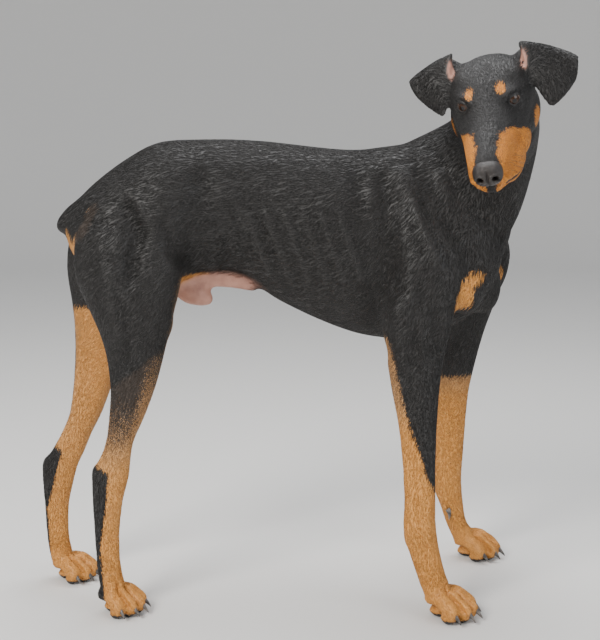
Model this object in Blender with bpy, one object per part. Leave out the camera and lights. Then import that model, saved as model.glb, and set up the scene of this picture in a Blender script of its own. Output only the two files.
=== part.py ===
"""A life-size standing Doberman Pinscher with drop ears and a docked tail, as a still museum model.

Metres, +Z up, +X towards the chest, +Y to the dog's left. The dog stands on its four paws on z = 0,
its trunk bent a little to the right and its head turned to the right.
"""

import math

import bmesh
import bpy
from mathutils import Matrix, Vector
from mathutils.bvhtree import BVHTree

# Driving sizes
WITHERS_HEIGHT = 0.68
TABLE_HEIGHT = 0.68  # the withers height for which the tables below are written
JOINT_GAP = 0.0003  # free space between neighbouring pieces
BODY_VOXEL = 0.0042
HEAD_VOXEL = 0.0017
PAW_VOXEL = 0.0016
BODY_FACES = 5200
HEAD_FACES = 3400
PAW_FACES = 480
NOSE_FACES = 480
TAIL_FACES = 260
SHEATH_FACES = 300
EYE_RADIUS = 0.0115
EAR_THICKNESS = 0.0034
EAR_COLUMNS = 9
CLAW_LENGTH = 0.0185
CLAW_RADIUS = 0.0040
CLAW_RINGS = 5

# Head frame: its origin is midway between the eyes, x to the nose, y to the dog's left, z up
HEAD_ORIGIN = Vector((0.245, -0.195, 0.736))
HEAD_YAW = math.radians(11.5)
HEAD_PITCH = math.radians(28)
HEAD_ROLL = math.radians(9)
EYE_CENTRE = (-0.0085, 0.0290, 0.0)
EYE_TURN_OUT = 27  # degrees from straight ahead
EYE_OPENING = (0.0130, 0.0092, 0.0060)  # radii along the gaze, along the lids and across them
LID_RADIUS = 0.0137

# Trunk rings, rump to breast: x, y, z, half depth, half width, keel (how far the width rides up)
TRUNK = (
    (-0.338, -0.031, 0.562, 0.022, 0.024, 0.00),
    (-0.318, -0.031, 0.556, 0.054, 0.048, 0.00),
    (-0.290, -0.030, 0.553, 0.083, 0.066, 0.00),
    (-0.250, -0.027, 0.560, 0.105, 0.080, 0.00),
    (-0.205, -0.022, 0.574, 0.114, 0.085, 0.05),
    (-0.150, -0.014, 0.591, 0.101, 0.078, 0.05),
    (-0.095, -0.006, 0.592, 0.100, 0.077, 0.08),
    (-0.035, 0.001, 0.571, 0.117, 0.086, 0.12),
    (0.030, 0.004, 0.551, 0.129, 0.094, 0.16),
    (0.090, 0.002, 0.539, 0.138, 0.095, 0.18),
    (0.150, -0.007, 0.540, 0.145, 0.088, 0.18),
    (0.205, -0.022, 0.545, 0.137, 0.080, 0.12),
    (0.245, -0.036, 0.543, 0.112, 0.070, 0.05),
    (0.272, -0.046, 0.540, 0.076, 0.054, 0.00),
    (0.290, -0.052, 0.540, 0.034, 0.030, 0.00),
)
NECK = (
    (0.165, -0.006, 0.560, 0.118, 0.070, 0.0),
    (0.225, -0.022, 0.612, 0.104, 0.063, 0.0),
    (0.264, -0.048, 0.660, 0.085, 0.057, 0.0),
    (0.280, -0.088, 0.702, 0.073, 0.053, 0.0),
    (0.275, -0.132, 0.722, 0.062, 0.047, 0.0),
)
TAIL = (
    (-0.280, -0.032, 0.603, 0.026, 0.023, 0.0),
    (-0.306, -0.033, 0.592, 0.0215, 0.020, 0.0),
    (-0.327, -0.034, 0.579, 0.0185, 0.0185, 0.0),
    (-0.341, -0.035, 0.566, 0.0150, 0.0155, 0.0),
    (-0.348, -0.035, 0.557, 0.0085, 0.0090, 0.0),
)
# The sheath under the belly: its skin fold, then its body from the groin to the free tip
SHEATH_WEB = (
    (-0.188, -0.021, 0.492, 0.024, 0.016, 0.0),
    (-0.120, -0.012, 0.492, 0.019, 0.013, 0.0),
    (-0.062, -0.004, 0.476, 0.012, 0.009, 0.0),
)
SHEATH = (
    (-0.186, -0.021, 0.486, 0.018, 0.018, 0.0),
    (-0.160, -0.020, 0.470, 0.022, 0.018, 0.0),
    (-0.142, -0.020, 0.460, 0.015, 0.014, 0.0),
    (-0.128, -0.020, 0.455, 0.007, 0.007, 0.0),
)

# Limb rings, all level, top to bottom: x, y, z, half size fore and aft, half size across, 0
FORELEG_RIGHT = (
    (0.125, -0.040, 0.645, 0.040, 0.022, 0.0),
    (0.160, -0.070, 0.590, 0.052, 0.030, 0.0),
    (0.182, -0.088, 0.525, 0.056, 0.034, 0.0),
    (0.172, -0.097, 0.455, 0.050, 0.031, 0.0),
    (0.166, -0.102, 0.400, 0.043, 0.027, 0.0),
    (0.164, -0.104, 0.350, 0.037, 0.025, 0.0),
    (0.168, -0.106, 0.290, 0.029, 0.022, 0.0),
    (0.171, -0.107, 0.230, 0.0250, 0.0185, 0.0),
    (0.173, -0.107, 0.175, 0.0240, 0.0185, 0.0),
    (0.173, -0.107, 0.135, 0.0250, 0.0205, 0.0),
    (0.179, -0.106, 0.105, 0.0240, 0.0190, 0.0),
    (0.189, -0.105, 0.070, 0.0220, 0.0185, 0.0),
    (0.198, -0.105, 0.045, 0.0215, 0.0200, 0.0),
    (0.204, -0.105, 0.026, 0.0190, 0.0180, 0.0),
)
FORELEG_LEFT = (
    (0.160, 0.014, 0.645, 0.040, 0.022, 0.0),
    (0.212, 0.036, 0.590, 0.052, 0.032, 0.0),
    (0.256, 0.050, 0.525, 0.060, 0.036, 0.0),
    (0.254, 0.067, 0.455, 0.054, 0.033, 0.0),
    (0.248, 0.084, 0.400, 0.0445, 0.028, 0.0),
    (0.245, 0.098, 0.350, 0.037, 0.025, 0.0),
    (0.243, 0.112, 0.290, 0.029, 0.022, 0.0),
    (0.244, 0.124, 0.229, 0.0255, 0.0190, 0.0),
    (0.244, 0.133, 0.171, 0.0240, 0.0185, 0.0),
    (0.243, 0.139, 0.130, 0.0240, 0.0205, 0.0),
    (0.251, 0.143, 0.095, 0.0205, 0.0190, 0.0),
    (0.259, 0.147, 0.064, 0.0180, 0.0185, 0.0),
    (0.271, 0.149, 0.042, 0.0200, 0.0200, 0.0),
    (0.278, 0.150, 0.026, 0.0180, 0.0180, 0.0),
)
HINDLEG_RIGHT = (
    (-0.235, -0.050, 0.615, 0.045, 0.028, 0.0),
    (-0.243, -0.072, 0.560, 0.074, 0.036, 0.0),
    (-0.244, -0.082, 0.500, 0.078, 0.038, 0.0),
    (-0.239, -0.086, 0.445, 0.060, 0.034, 0.0),
    (-0.236, -0.087, 0.400, 0.046, 0.030, 0.0),
    (-0.239, -0.088, 0.345, 0.0345, 0.026, 0.0),
    (-0.250, -0.089, 0.295, 0.0270, 0.021, 0.0),
    (-0.262, -0.090, 0.255, 0.0215, 0.0170, 0.0),
    (-0.274, -0.090, 0.210, 0.0280, 0.0165, 0.0),
    (-0.280, -0.090, 0.170, 0.0235, 0.0155, 0.0),
    (-0.282, -0.090, 0.120, 0.0195, 0.0140, 0.0),
    (-0.281, -0.090, 0.075, 0.0185, 0.0150, 0.0),
    (-0.277, -0.089, 0.045, 0.0185, 0.0180, 0.0),
    (-0.273, -0.088, 0.025, 0.0170, 0.0170, 0.0),
)
HINDLEG_LEFT = (
    (-0.250, -0.010, 0.615, 0.045, 0.028, 0.0),
    (-0.268, 0.010, 0.560, 0.072, 0.036, 0.0),
    (-0.282, 0.019, 0.500, 0.070, 0.038, 0.0),
    (-0.290, 0.024, 0.445, 0.056, 0.034, 0.0),
    (-0.300, 0.027, 0.400, 0.044, 0.030, 0.0),
    (-0.313, 0.030, 0.341, 0.0335, 0.025, 0.0),
    (-0.330, 0.036, 0.277, 0.0265, 0.021, 0.0),
    (-0.345, 0.039, 0.245, 0.0250, 0.0170, 0.0),
    (-0.361, 0.042, 0.212, 0.0270, 0.0165, 0.0),
    (-0.375, 0.044, 0.187, 0.0290, 0.0160, 0.0),
    (-0.380, 0.046, 0.155, 0.0250, 0.0150, 0.0),
    (-0.383, 0.048, 0.124, 0.0205, 0.0140, 0.0),
    (-0.384, 0.050, 0.090, 0.0190, 0.0140, 0.0),
    (-0.382, 0.050, 0.060, 0.0180, 0.0155, 0.0),
    (-0.376, 0.049, 0.030, 0.0180, 0.0170, 0.0),
)
# Muscles and bones that stand out: centre, radii, turn about Y in degrees, turn about Z in degrees
LUMPS = (
    ((0.150, -0.094, 0.440), (0.034, 0.026, 0.060), 8, 0),  # right triceps
    ((0.134, -0.103, 0.376), (0.012, 0.013, 0.018), 0, 0),  # right point of elbow
    ((0.208, -0.092, 0.520), (0.026, 0.024, 0.040), 20, 0),  # right point of shoulder
    ((0.287, 0.040, 0.500), (0.031, 0.034, 0.060), 14, 0),  # left point of shoulder
    ((0.226, 0.068, 0.440), (0.034, 0.028, 0.060), 8, 0),  # left triceps
    ((0.209, 0.088, 0.376), (0.012, 0.013, 0.018), 0, 0),  # left point of elbow
    ((0.270, -0.052, 0.535), (0.026, 0.022, 0.034), 0, -20),  # breastbone tip
    ((0.230, -0.066, 0.492), (0.034, 0.038, 0.052), -14, -20),  # right breast muscle
    ((0.262, -0.008, 0.488), (0.036, 0.042, 0.056), -14, -20),  # left breast muscle
    ((0.282, 0.014, 0.556), (0.034, 0.036, 0.052), 12, 0),  # left side of the neck's root
    ((-0.284, -0.080, 0.520), (0.034, 0.026, 0.065), -10, 0),  # right hamstring
    ((-0.304, 0.018, 0.520), (0.032, 0.026, 0.065), -8, 0),  # left hamstring
    ((-0.202, -0.080, 0.520), (0.032, 0.020, 0.065), 14, 0),  # right quadriceps
    ((-0.235, 0.012, 0.520), (0.032, 0.020, 0.065), 14, 0),  # left quadriceps
    ((-0.194, -0.085, 0.432), (0.014, 0.020, 0.024), 0, 0),  # right knee
    ((-0.250, 0.024, 0.432), (0.014, 0.020, 0.024), 0, 0),  # left knee
    ((-0.297, -0.090, 0.213), (0.008, 0.009, 0.013), 0, 0),  # right point of hock
    ((-0.397, 0.044, 0.190), (0.008, 0.009, 0.013), 0, 0),  # left point of hock
    ((0.156, -0.107, 0.120), (0.008, 0.009, 0.012), 0, 0),  # right wrist pad
    ((0.229, 0.137, 0.116), (0.008, 0.009, 0.012), 0, 0),  # left wrist pad
)
# Furrows and ridges on the flanks, seen from the side: side (-1 right, 1 left, 0 both), width,
# height, then the line's points as x, z
STROKES = (
    (-1, 0.026, -0.0050, ((0.080, 0.640), (0.092, 0.560), (0.104, 0.480), (0.116, 0.410))),
    (-1, 0.022, -0.0040, ((0.160, 0.660), (0.205, 0.600), (0.232, 0.530))),
    (-1, 0.020, 0.0025, ((0.115, 0.655), (0.165, 0.590), (0.200, 0.540))),
    (-1, 0.022, -0.0040, ((0.165, 0.500), (0.185, 0.450), (0.190, 0.400))),
    (-1, 0.020, -0.0050, ((-0.246, 0.590), (-0.228, 0.560), (-0.234, 0.528), (-0.238, 0.490))),
    (-1, 0.030, 0.0030, ((-0.275, 0.590), (-0.262, 0.540), (-0.258, 0.480))),
    (-1, 0.030, -0.0060, ((-0.140, 0.630), (-0.150, 0.580), (-0.150, 0.530))),
    (-1, 0.014, -0.0035, ((-0.262, 0.330), (-0.276, 0.280), (-0.287, 0.235))),
    (-1, 0.012, -0.0025, ((0.150, 0.370), (0.158, 0.310), (0.163, 0.240))),
    (1, 0.026, -0.0050, ((0.120, 0.640), (0.140, 0.560), (0.160, 0.480), (0.178, 0.410))),
    (1, 0.022, -0.0040, ((0.190, 0.660), (0.250, 0.600), (0.290, 0.530))),
    (1, 0.022, -0.0040, ((0.235, 0.500), (0.258, 0.450), (0.266, 0.400))),
    (1, 0.020, -0.0050, ((-0.262, 0.590), (-0.250, 0.560), (-0.262, 0.528), (-0.275, 0.490))),
    (1, 0.030, -0.0060, ((-0.150, 0.630), (-0.165, 0.580), (-0.170, 0.530))),
    (1, 0.014, -0.0035, ((-0.330, 0.330), (-0.352, 0.280), (-0.372, 0.235))),
)

# Skull rings in the head frame, back to front: x, y, z, half height, half width, keel, boxiness
SKULL = (
    (-0.118, 0.0, -0.020, 0.032, 0.036, 0.0, 2.0),
    (-0.090, 0.0, -0.0165, 0.0455, 0.0495, 0.0, 2.3),
    (-0.055, 0.0, -0.0165, 0.0495, 0.0580, 0.05, 2.5),
    (-0.022, 0.0, -0.0190, 0.0455, 0.0525, 0.02, 2.3),
    (0.008, 0.0, -0.0230, 0.0370, 0.0415, -0.25, 2.0),
    (0.040, 0.0, -0.0280, 0.0305, 0.0345, -0.25, 2.2),
    (0.080, 0.0, -0.0310, 0.0250, 0.0290, -0.16, 2.4),
    (0.106, 0.0, -0.0345, 0.0205, 0.0245, -0.10, 2.4),
    (0.118, 0.0, -0.0385, 0.0165, 0.0175, 0.0, 2.1),
    (0.122, 0.0, -0.0400, 0.0110, 0.0120, 0.0, 2.0),
)
JAW = (
    (-0.060, 0.0, -0.048, 0.030, 0.044, 0.0, 2.2),
    (-0.010, 0.0, -0.060, 0.018, 0.0355, 0.0, 2.2),
    (0.040, 0.0, -0.063, 0.013, 0.0265, 0.0, 2.2),
    (0.085, 0.0, -0.064, 0.0115, 0.0195, 0.0, 2.2),
    (0.111, 0.0, -0.061, 0.0085, 0.0130, 0.0, 2.0),
)
# Forms of the left side of the head, mirrored to the right: centre, radii, turn about Z in degrees
HEAD_LUMPS = (
    ((-0.050, 0.039, -0.040), (0.046, 0.0210, 0.033), -8),  # cheek muscle
    ((-0.012, 0.040, -0.016), (0.026, 0.0085, 0.0080), -22),  # cheekbone
    ((-0.010, 0.026, 0.0100), (0.019, 0.014, 0.0080), -20),  # brow
    ((-0.055, 0.026, 0.018), (0.036, 0.022, 0.0150), 0),  # temple muscle
    ((0.084, 0.0190, -0.050), (0.035, 0.0105, 0.0175), -7),  # upper lip
    ((0.040, 0.0270, -0.052), (0.026, 0.0080, 0.0150), -12),  # corner of the lip
)
# The lip hangs fuller on the left
LEFT_LUMPS = (
    ((0.064, 0.0265, -0.0560), (0.038, 0.0125, 0.0190), -14),
    ((0.016, 0.0345, -0.0500), (0.034, 0.0125, 0.0200), -12),
)
MOUTH_RADIUS = 0.0030
MOUTH_START = 0.080  # clear of the head's side
# Closed mouth from the chin to its corner, as x, z points
MOUTH = ((0.110, -0.0565), (0.100, -0.0610), (0.082, -0.0640), (0.060, -0.0645), (0.038, -0.0600),
         (0.022, -0.0530))
NOSE = ((0.1200, 0.0, -0.0362), (0.0130, 0.0192, 0.0152))
NOSTRIL = ((0.1300, 0.0108, -0.0405), (0.0070, 0.0042, 0.0045))
NOSTRIL_SLIT = ((0.1230, 0.0172, -0.0430), (0.0075, 0.0035, 0.0022))
NOSE_FURROW = ((0.1330, 0.0, -0.0450), (0.0060, 0.0010, 0.0120))

# Ear rows in the head frame, root to tip. A row is three points from the ear's front edge to its
# outer edge: the first three rows are the back of the ear, the rest the flap that hangs from the fold.
EAR_LEFT = (
    ((-0.046, 0.036, 0.004), (-0.075, 0.033, 0.022), (-0.098, 0.029, 0.004)),
    ((-0.055, 0.0480, 0.0280), (-0.080, 0.052, 0.036), (-0.096, 0.055, 0.010)),
    ((-0.068, 0.0430, 0.0480), (-0.074, 0.080, 0.0335), (-0.070, 0.1125, 0.0145)),
    ((-0.062, 0.0450, 0.0440), (-0.062, 0.0850, 0.0300), (-0.056, 0.1190, 0.0140)),
    ((-0.048, 0.0500, 0.0215), (-0.043, 0.0840, 0.0100), (-0.043, 0.1115, -0.0040)),
    ((-0.035, 0.0605, -0.0030), (-0.030, 0.0810, -0.0105), (-0.031, 0.0965, -0.0175)),
    ((-0.022, 0.0740, -0.0235), (-0.020, 0.0785, -0.0262), (-0.021, 0.0820, -0.0250)),
)
EAR_RIGHT = (
    ((-0.046, -0.036, 0.004), (-0.075, -0.033, 0.022), (-0.098, -0.029, 0.004)),
    ((-0.055, -0.0450, 0.0280), (-0.080, -0.050, 0.038), (-0.096, -0.052, 0.012)),
    ((-0.069, -0.0420, 0.0500), (-0.074, -0.075, 0.037), (-0.070, -0.103, 0.021)),
    ((-0.063, -0.0465, 0.0480), (-0.062, -0.0800, 0.0345), (-0.056, -0.1085, 0.0205)),
    ((-0.048, -0.0490, 0.0290), (-0.043, -0.0750, 0.0150), (-0.043, -0.0970, 0.0010)),
    ((-0.035, -0.0515, 0.0080), (-0.030, -0.0660, -0.0040), (-0.031, -0.0790, -0.0135)),
    ((-0.022, -0.0600, -0.0130), (-0.020, -0.0640, -0.0165), (-0.021, -0.0680, -0.0165)),
)

# Paws: centre on the floor, turn about Z in degrees, scale
PAWS = {
    "front_right": ((0.221, -0.110), -36, 1.05),
    "front_left": ((0.296, 0.150), -30, 1.05),
    "hind_right": ((-0.262, -0.090), -34, 0.97),
    "hind_left": ((-0.356, 0.048), -26, 0.96),
}
LEGS = {
    "front_right": FORELEG_RIGHT,
    "front_left": FORELEG_LEFT,
    "hind_right": HINDLEG_RIGHT,
    "hind_left": HINDLEG_LEFT,
}
# Toes in the paw's own frame: x shift, y, spread in degrees
TOES = ((-0.011, -0.0190, -14), (0.0, -0.0070, -4), (0.0, 0.0070, 4), (-0.011, 0.0190, 14))
TOE = (
    (-0.020, 0.0, 0.0285, 0.0105, 0.0088, 0.0),
    (0.000, 0.0, 0.0300, 0.0110, 0.0092, 0.0),
    (0.016, 0.0, 0.0245, 0.0115, 0.0095, 0.0),
    (0.027, 0.0, 0.0168, 0.0110, 0.0092, 0.0),
    (0.033, 0.0, 0.0125, 0.0075, 0.0070, 0.0),
    (0.035, 0.0, 0.0115, 0.0035, 0.0035, 0.0),
)
TOE_PAD = ((0.0190, 0.0, 0.0072), (0.0120, 0.0078, 0.0080))
SOLE_PAD = ((-0.016, 0.0, 0.0080), (0.0170, 0.0165, 0.0088))
FOOT_BLOCK = ((-0.010, 0.0, 0.0270), (0.0220, 0.0215, 0.0145))
# Dewclaws of the forelegs, on their inner sides: root, turn about Z in degrees
DEWCLAWS = {
    "front_right": ((0.176, -0.089, 0.098), 20),
    "front_left": ((0.244, 0.127, 0.088), -30),
}

# Cuts between the named parts: a point of the plane, and its normal towards the first of the two
HEAD_CUT = ((0.270, -0.108, 0.722), (-0.10, -0.82, 0.46))
NECK_CUT = ((0.215, -0.018, 0.610), (0.66, -0.22, 0.72))
LOIN_CUT = ((-0.045, 0.0, 0.55), (1.0, 0.0, 0.0))
RUMP_CUT = ((-0.160, 0.0, 0.53), (0.994, 0.0, -0.108))
THIGH_CUT_RIGHT = ((-0.25, -0.033, 0.488), (0.0, -0.42, -0.91))
THIGH_CUT_LEFT = ((-0.25, -0.033, 0.488), (0.0, 0.42, -0.91))
GROIN_CUT = ((-0.25, -0.033, 0.45), (0.0, 1.0, 0.0))
ELBOW_HEIGHT = 0.392  # just under the brisket
WRIST_HEIGHT = 0.150
KNEE_HEIGHT = 0.395
HOCK_HEIGHT = 0.236
PAW_TOP = 0.054

COLOURS = {
    "coat": ((0.020, 0.018, 0.017), 0.42),
    "rust": ((0.50, 0.21, 0.055), 0.50),
    "leather": ((0.018, 0.015, 0.015), 0.30),
    "skin": ((0.52, 0.30, 0.24), 0.55),
    "eye": ((0.035, 0.016, 0.010), 0.05),
    "claw": ((0.060, 0.052, 0.048), 0.35),
}


def clear_scene():
    for thing in list(bpy.data.objects):
        bpy.data.objects.remove(thing, do_unlink=True)


def material(name):
    colour, roughness = COLOURS[name]
    made = bpy.data.materials.get(name) or bpy.data.materials.new(name)
    made.use_nodes = True
    shader = made.node_tree.nodes["Principled BSDF"]
    shader.inputs["Base Color"].default_value = (*colour, 1.0)
    shader.inputs["Roughness"].default_value = roughness
    return made


def show(name, bm, finish):
    """An object made from bm, which is freed."""
    mesh = bpy.data.meshes.new(name)
    bm.to_mesh(mesh)
    bm.free()
    mesh.shade_smooth()
    mesh.materials.clear()
    mesh.materials.append(material(finish))
    made = bpy.data.objects.new(name, mesh)
    bpy.context.scene.collection.objects.link(made)
    return made


def between(rows, steps):
    """The rows with steps - 1 more between each two, on a Catmull-Rom curve through them."""
    made = []
    last = len(rows) - 1
    for i in range(last):
        a, b, c, d = (rows[min(max(i + k, 0), last)] for k in (-1, 0, 1, 2))
        for step in range(steps):
            t = step / steps
            made.append(
                tuple(
                    0.5 * (2 * q + (r - p) * t + (2 * p - 5 * q + 4 * r - s) * t * t
                           + (3 * q - p - 3 * r + s) * t * t * t)
                    for p, q, r, s in zip(a, b, c, d)
                )
            )
    return made + [tuple(rows[last])]


def boxed(value, power):
    """value of a unit circle's coordinate, moved out towards a square."""
    return math.copysign(abs(value) ** (2 / power), value)


def tube(bm, rings, place=Matrix.Identity(4), steps=3, corners=26, lean="path"):
    """A closed tube through rings of (x, y, z, half depth, half width, keel, boxiness).

    lean says how a ring lies: square to the "path", "level", or "upright" and square to the path
    seen from above.
    """
    rows = between(rings, steps)
    centres = [Vector(row[:3]) for row in rows]
    loops = []
    for i, row in enumerate(rows):
        along = centres[min(i + 1, len(rows) - 1)] - centres[max(i - 1, 0)]
        if lean == "level":
            along, across = Vector((0, 0, -1)), Vector((0, 1, 0))
        else:
            if lean == "upright":
                along.z = 0
            along.normalize()
            across = Vector((0, 0, 1)).cross(along).normalized()
        turn = Matrix((across * row[4], along.cross(across) * row[3], along)).transposed()
        spot = Matrix.Translation(centres[i]) @ turn.to_4x4()
        ends = i in (0, len(rows) - 1)
        ring = bmesh.ops.create_circle(bm, cap_ends=ends, segments=corners, radius=1.0)["verts"]
        power = row[6] if len(row) > 6 else 2.0
        for vert in ring:
            flat = Vector((boxed(vert.co.x, power), boxed(vert.co.y, power), 0))
            flat.x *= 1 + row[5] * flat.y
            vert.co = place @ (spot @ flat)
        loops.append(ring)
    for first, second in zip(loops, loops[1:]):
        edges = {e for v in first for e in v.link_edges if e.other_vert(v) in first}
        edges |= {e for v in second for e in v.link_edges if e.other_vert(v) in second}
        bmesh.ops.bridge_loops(bm, edges=list(edges))


def lump(bm, centre, radii, place=Matrix.Identity(4), turn=Matrix.Identity(4), detail=3):
    """An ellipsoid."""
    matrix = place @ Matrix.Translation(centre) @ turn @ Matrix.Diagonal((*radii, 1.0))
    bmesh.ops.create_icosphere(bm, subdivisions=detail, radius=1.0, matrix=matrix)


def evaluated(held):
    """held's mesh with its modifiers, as a bmesh. held is removed."""
    graph = bpy.context.evaluated_depsgraph_get()
    made = bmesh.new()
    made.from_mesh(held.evaluated_get(graph).to_mesh())
    bpy.data.objects.remove(held, do_unlink=True)
    return made


def remeshed(bm, voxel, smooth_times):
    """The union of bm's closed shells as one even mesh, its creases smoothed. bm is freed."""
    bmesh.ops.recalc_face_normals(bm, faces=bm.faces)
    held = show("shells", bm, "coat")
    skin = held.modifiers.new("skin", "REMESH")
    skin.mode = "VOXEL"
    skin.voxel_size = voxel
    soft = held.modifiers.new("soft", "SMOOTH")
    soft.factor = 0.5
    soft.iterations = smooth_times
    return evaluated(held)


def reduced(bm, faces):
    """bm with about that many triangles. bm is freed."""
    bmesh.ops.triangulate(bm, faces=bm.faces)
    ratio = min(1.0, faces / len(bm.faces))
    held = show("dense", bm, "coat")
    fewer = held.modifiers.new("fewer", "DECIMATE")
    fewer.ratio = ratio
    return evaluated(held)


def booled(bm, other, operation, solver="EXACT"):
    """bm joined with, or cut by, other. Both are freed."""
    held = show("held", bm, "coat")
    tool = show("tool", other, "coat")
    tool.hide_render = True
    tool.display_type = "WIRE"
    change = held.modifiers.new("change", "BOOLEAN")
    change.operation = operation
    change.solver = solver
    change.object = tool
    made = evaluated(held)
    bpy.data.objects.remove(tool, do_unlink=True)
    return made


def fattened(source, by):
    """A copy of source with its surface moved out."""
    bm = source.copy()
    bm.normal_update()
    for vert in bm.verts:
        vert.co += vert.normal * by
    return bm


def shells_of(bm):
    """bm's separate shells, as sets of vertices."""
    left, shells = set(bm.verts), []
    while left:
        front = [left.pop()]
        shell = set(front)
        while front:
            for edge in front.pop().link_edges:
                for vert in edge.verts:
                    if vert in left:
                        left.remove(vert)
                        shell.add(vert)
                        front.append(vert)
        shells.append(shell)
    return shells


def keep_shell(bm, seed=None):
    """Deletes every shell of bm but the one nearest to seed, or but the largest."""
    shells = shells_of(bm)
    if seed:
        keep = min(shells, key=lambda shell: min((v.co - seed).length for v in shell))
    else:
        keep = max(shells, key=len)
    bmesh.ops.delete(bm, geom=[v for v in bm.verts if v not in keep], context="VERTS")


def sliced(source, planes, seed=None):
    """A copy of source kept on one side of each plane (point, normal towards what stays)."""
    bm = source.copy()
    for point, normal in planes:
        normal = Vector(normal).normalized()
        spot = Vector(point) + normal * JOINT_GAP / 2
        geom = bm.verts[:] + bm.edges[:] + bm.faces[:]
        bmesh.ops.bisect_plane(
            bm, geom=geom, dist=1e-6, plane_co=spot, plane_no=normal, clear_inner=True
        )
        bmesh.ops.holes_fill(bm, edges=[e for e in bm.edges if e.is_boundary], sides=0)
    keep_shell(bm, Vector(seed) if seed else None)
    bmesh.ops.triangulate(bm, faces=bm.faces)
    bmesh.ops.recalc_face_normals(bm, faces=bm.faces)
    return bm


def away(plane):
    """The same plane with its normal turned round."""
    point, normal = plane
    return point, tuple(-n for n in normal)


def below(height):
    return (0.0, 0.0, height), (0.0, 0.0, -1.0)


def above(height):
    return (0.0, 0.0, height), (0.0, 0.0, 1.0)


def head_matrix():
    """Carries the head frame to the dog's frame."""
    forward = Vector(
        (
            -math.sin(HEAD_YAW) * math.cos(HEAD_PITCH),
            -math.cos(HEAD_YAW) * math.cos(HEAD_PITCH),
            -math.sin(HEAD_PITCH),
        )
    )
    level_left = Vector((math.cos(HEAD_YAW), -math.sin(HEAD_YAW), 0))
    level_up = forward.cross(level_left)
    left = level_left * math.cos(HEAD_ROLL) + level_up * math.sin(HEAD_ROLL)
    turn = Matrix((forward, left, forward.cross(left))).transposed().to_4x4()
    return Matrix.Translation(HEAD_ORIGIN) @ turn


def mirrored(point, sign):
    return Vector((point[0], point[1] * sign, point[2]))


def add_legs(bm, names):
    for name in names:
        tube(bm, LEGS[name], lean="level")


def add_trunk(bm):
    tube(bm, TRUNK, lean="upright")
    tube(bm, NECK)
    for centre, radii, about_y, about_z in LUMPS:
        turn = Matrix.Rotation(math.radians(about_z), 4, "Z")
        turn = turn @ Matrix.Rotation(math.radians(about_y), 4, "Y")
        lump(bm, centre, radii, turn=turn)


def stroke(bm, side, width, height, points):
    """Raises, or with a negative height sinks, the flank along a line given as x, z points."""
    bm.normal_update()
    line = [Vector(point) for point in points]
    moves = []
    for vert in bm.verts:
        facing = abs(vert.normal.y) if side == 0 else vert.normal.y * side
        if facing <= 0.15:
            continue
        spot = Vector((vert.co.x, vert.co.z))
        near = min(span_distance(spot, a, b) for a, b in zip(line, line[1:]))
        if near < width:
            fall = 0.5 + 0.5 * math.cos(math.pi * near / width)
            moves.append((vert, vert.normal * height * fall * min(1.0, (facing - 0.15) / 0.35)))
    for vert, move in moves:
        vert.co += move


def span_distance(spot, start, end):
    """Distance from a point to the straight line between two others."""
    span = end - start
    along = max(0.0, min(1.0, (spot - start).dot(span) / span.length_squared))
    return (spot - start - span * along).length


def body_mesh(place):
    bm = bmesh.new()
    add_trunk(bm)
    tube(bm, SKULL, place)
    add_legs(bm, LEGS)
    bm = remeshed(bm, BODY_VOXEL, 9)
    for side, width, height, points in STROKES:
        stroke(bm, side, width, height, points)
    return reduced(bm, BODY_FACES)


def gaze_matrix(place, sign):
    """Carries a frame whose x is the eye's gaze to the dog's frame."""
    turn = Matrix.Rotation(math.radians(EYE_TURN_OUT * sign), 4, "Z")
    return place @ Matrix.Translation(mirrored(EYE_CENTRE, sign)) @ turn


def add_head(bm, place):
    tube(bm, SKULL, place)
    tube(bm, JAW, place)
    for sign, lumps in ((1, HEAD_LUMPS + LEFT_LUMPS), (-1, HEAD_LUMPS)):
        for centre, radii, about_z in lumps:
            turn = Matrix.Rotation(math.radians(about_z * sign), 4, "Z")
            lump(bm, mirrored(centre, sign), radii, place, turn)
        lump(bm, (0, 0, 0), (LID_RADIUS,) * 3, gaze_matrix(place, sign))


def mouth_line(head, place, sign):
    """A thin tube along the closed mouth, sunk in the side of the head, to be cut out of it."""
    surface = BVHTree.FromBMesh(head)
    inward = (place.to_3x3() @ Vector((0, -sign, 0))).normalized()
    rings = []
    for x, z in MOUTH:
        spot = surface.ray_cast(place @ Vector((x, MOUTH_START * sign, z)), inward)[0]
        rings.append((*spot, MOUTH_RADIUS * 0.6, MOUTH_RADIUS, 0.0))
    bm = bmesh.new()
    tube(bm, rings, corners=10)
    bmesh.ops.recalc_face_normals(bm, faces=bm.faces)
    return bm


def head_mesh(place):
    bm = bmesh.new()
    add_head(bm, place)
    tube(bm, NECK)
    bm = reduced(remeshed(bm, HEAD_VOXEL, 10), HEAD_FACES)
    for sign in (1, -1):
        socket = bmesh.new()
        lump(socket, (0, 0, 0), (EYE_RADIUS + JOINT_GAP,) * 3, gaze_matrix(place, sign))
        bm = booled(bm, socket, "DIFFERENCE")
        slit = bmesh.new()
        lump(slit, (EYE_RADIUS, 0, 0), EYE_OPENING, gaze_matrix(place, sign))
        bm = booled(bm, slit, "DIFFERENCE")
        bm = booled(bm, mouth_line(bm, place, sign), "DIFFERENCE")
    return bm


def nose_mesh(place):
    bm = bmesh.new()
    lump(bm, *NOSE, place, detail=4)
    for sign in (1, -1):
        for centre, radii in (NOSTRIL, NOSTRIL_SLIT):
            tool = bmesh.new()
            lump(tool, mirrored(centre, sign), radii, place, detail=2)
            bm = booled(bm, tool, "DIFFERENCE")
    tool = bmesh.new()
    lump(tool, *NOSE_FURROW, place, detail=2)
    return reduced(booled(bm, tool, "DIFFERENCE"), NOSE_FACES)


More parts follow.
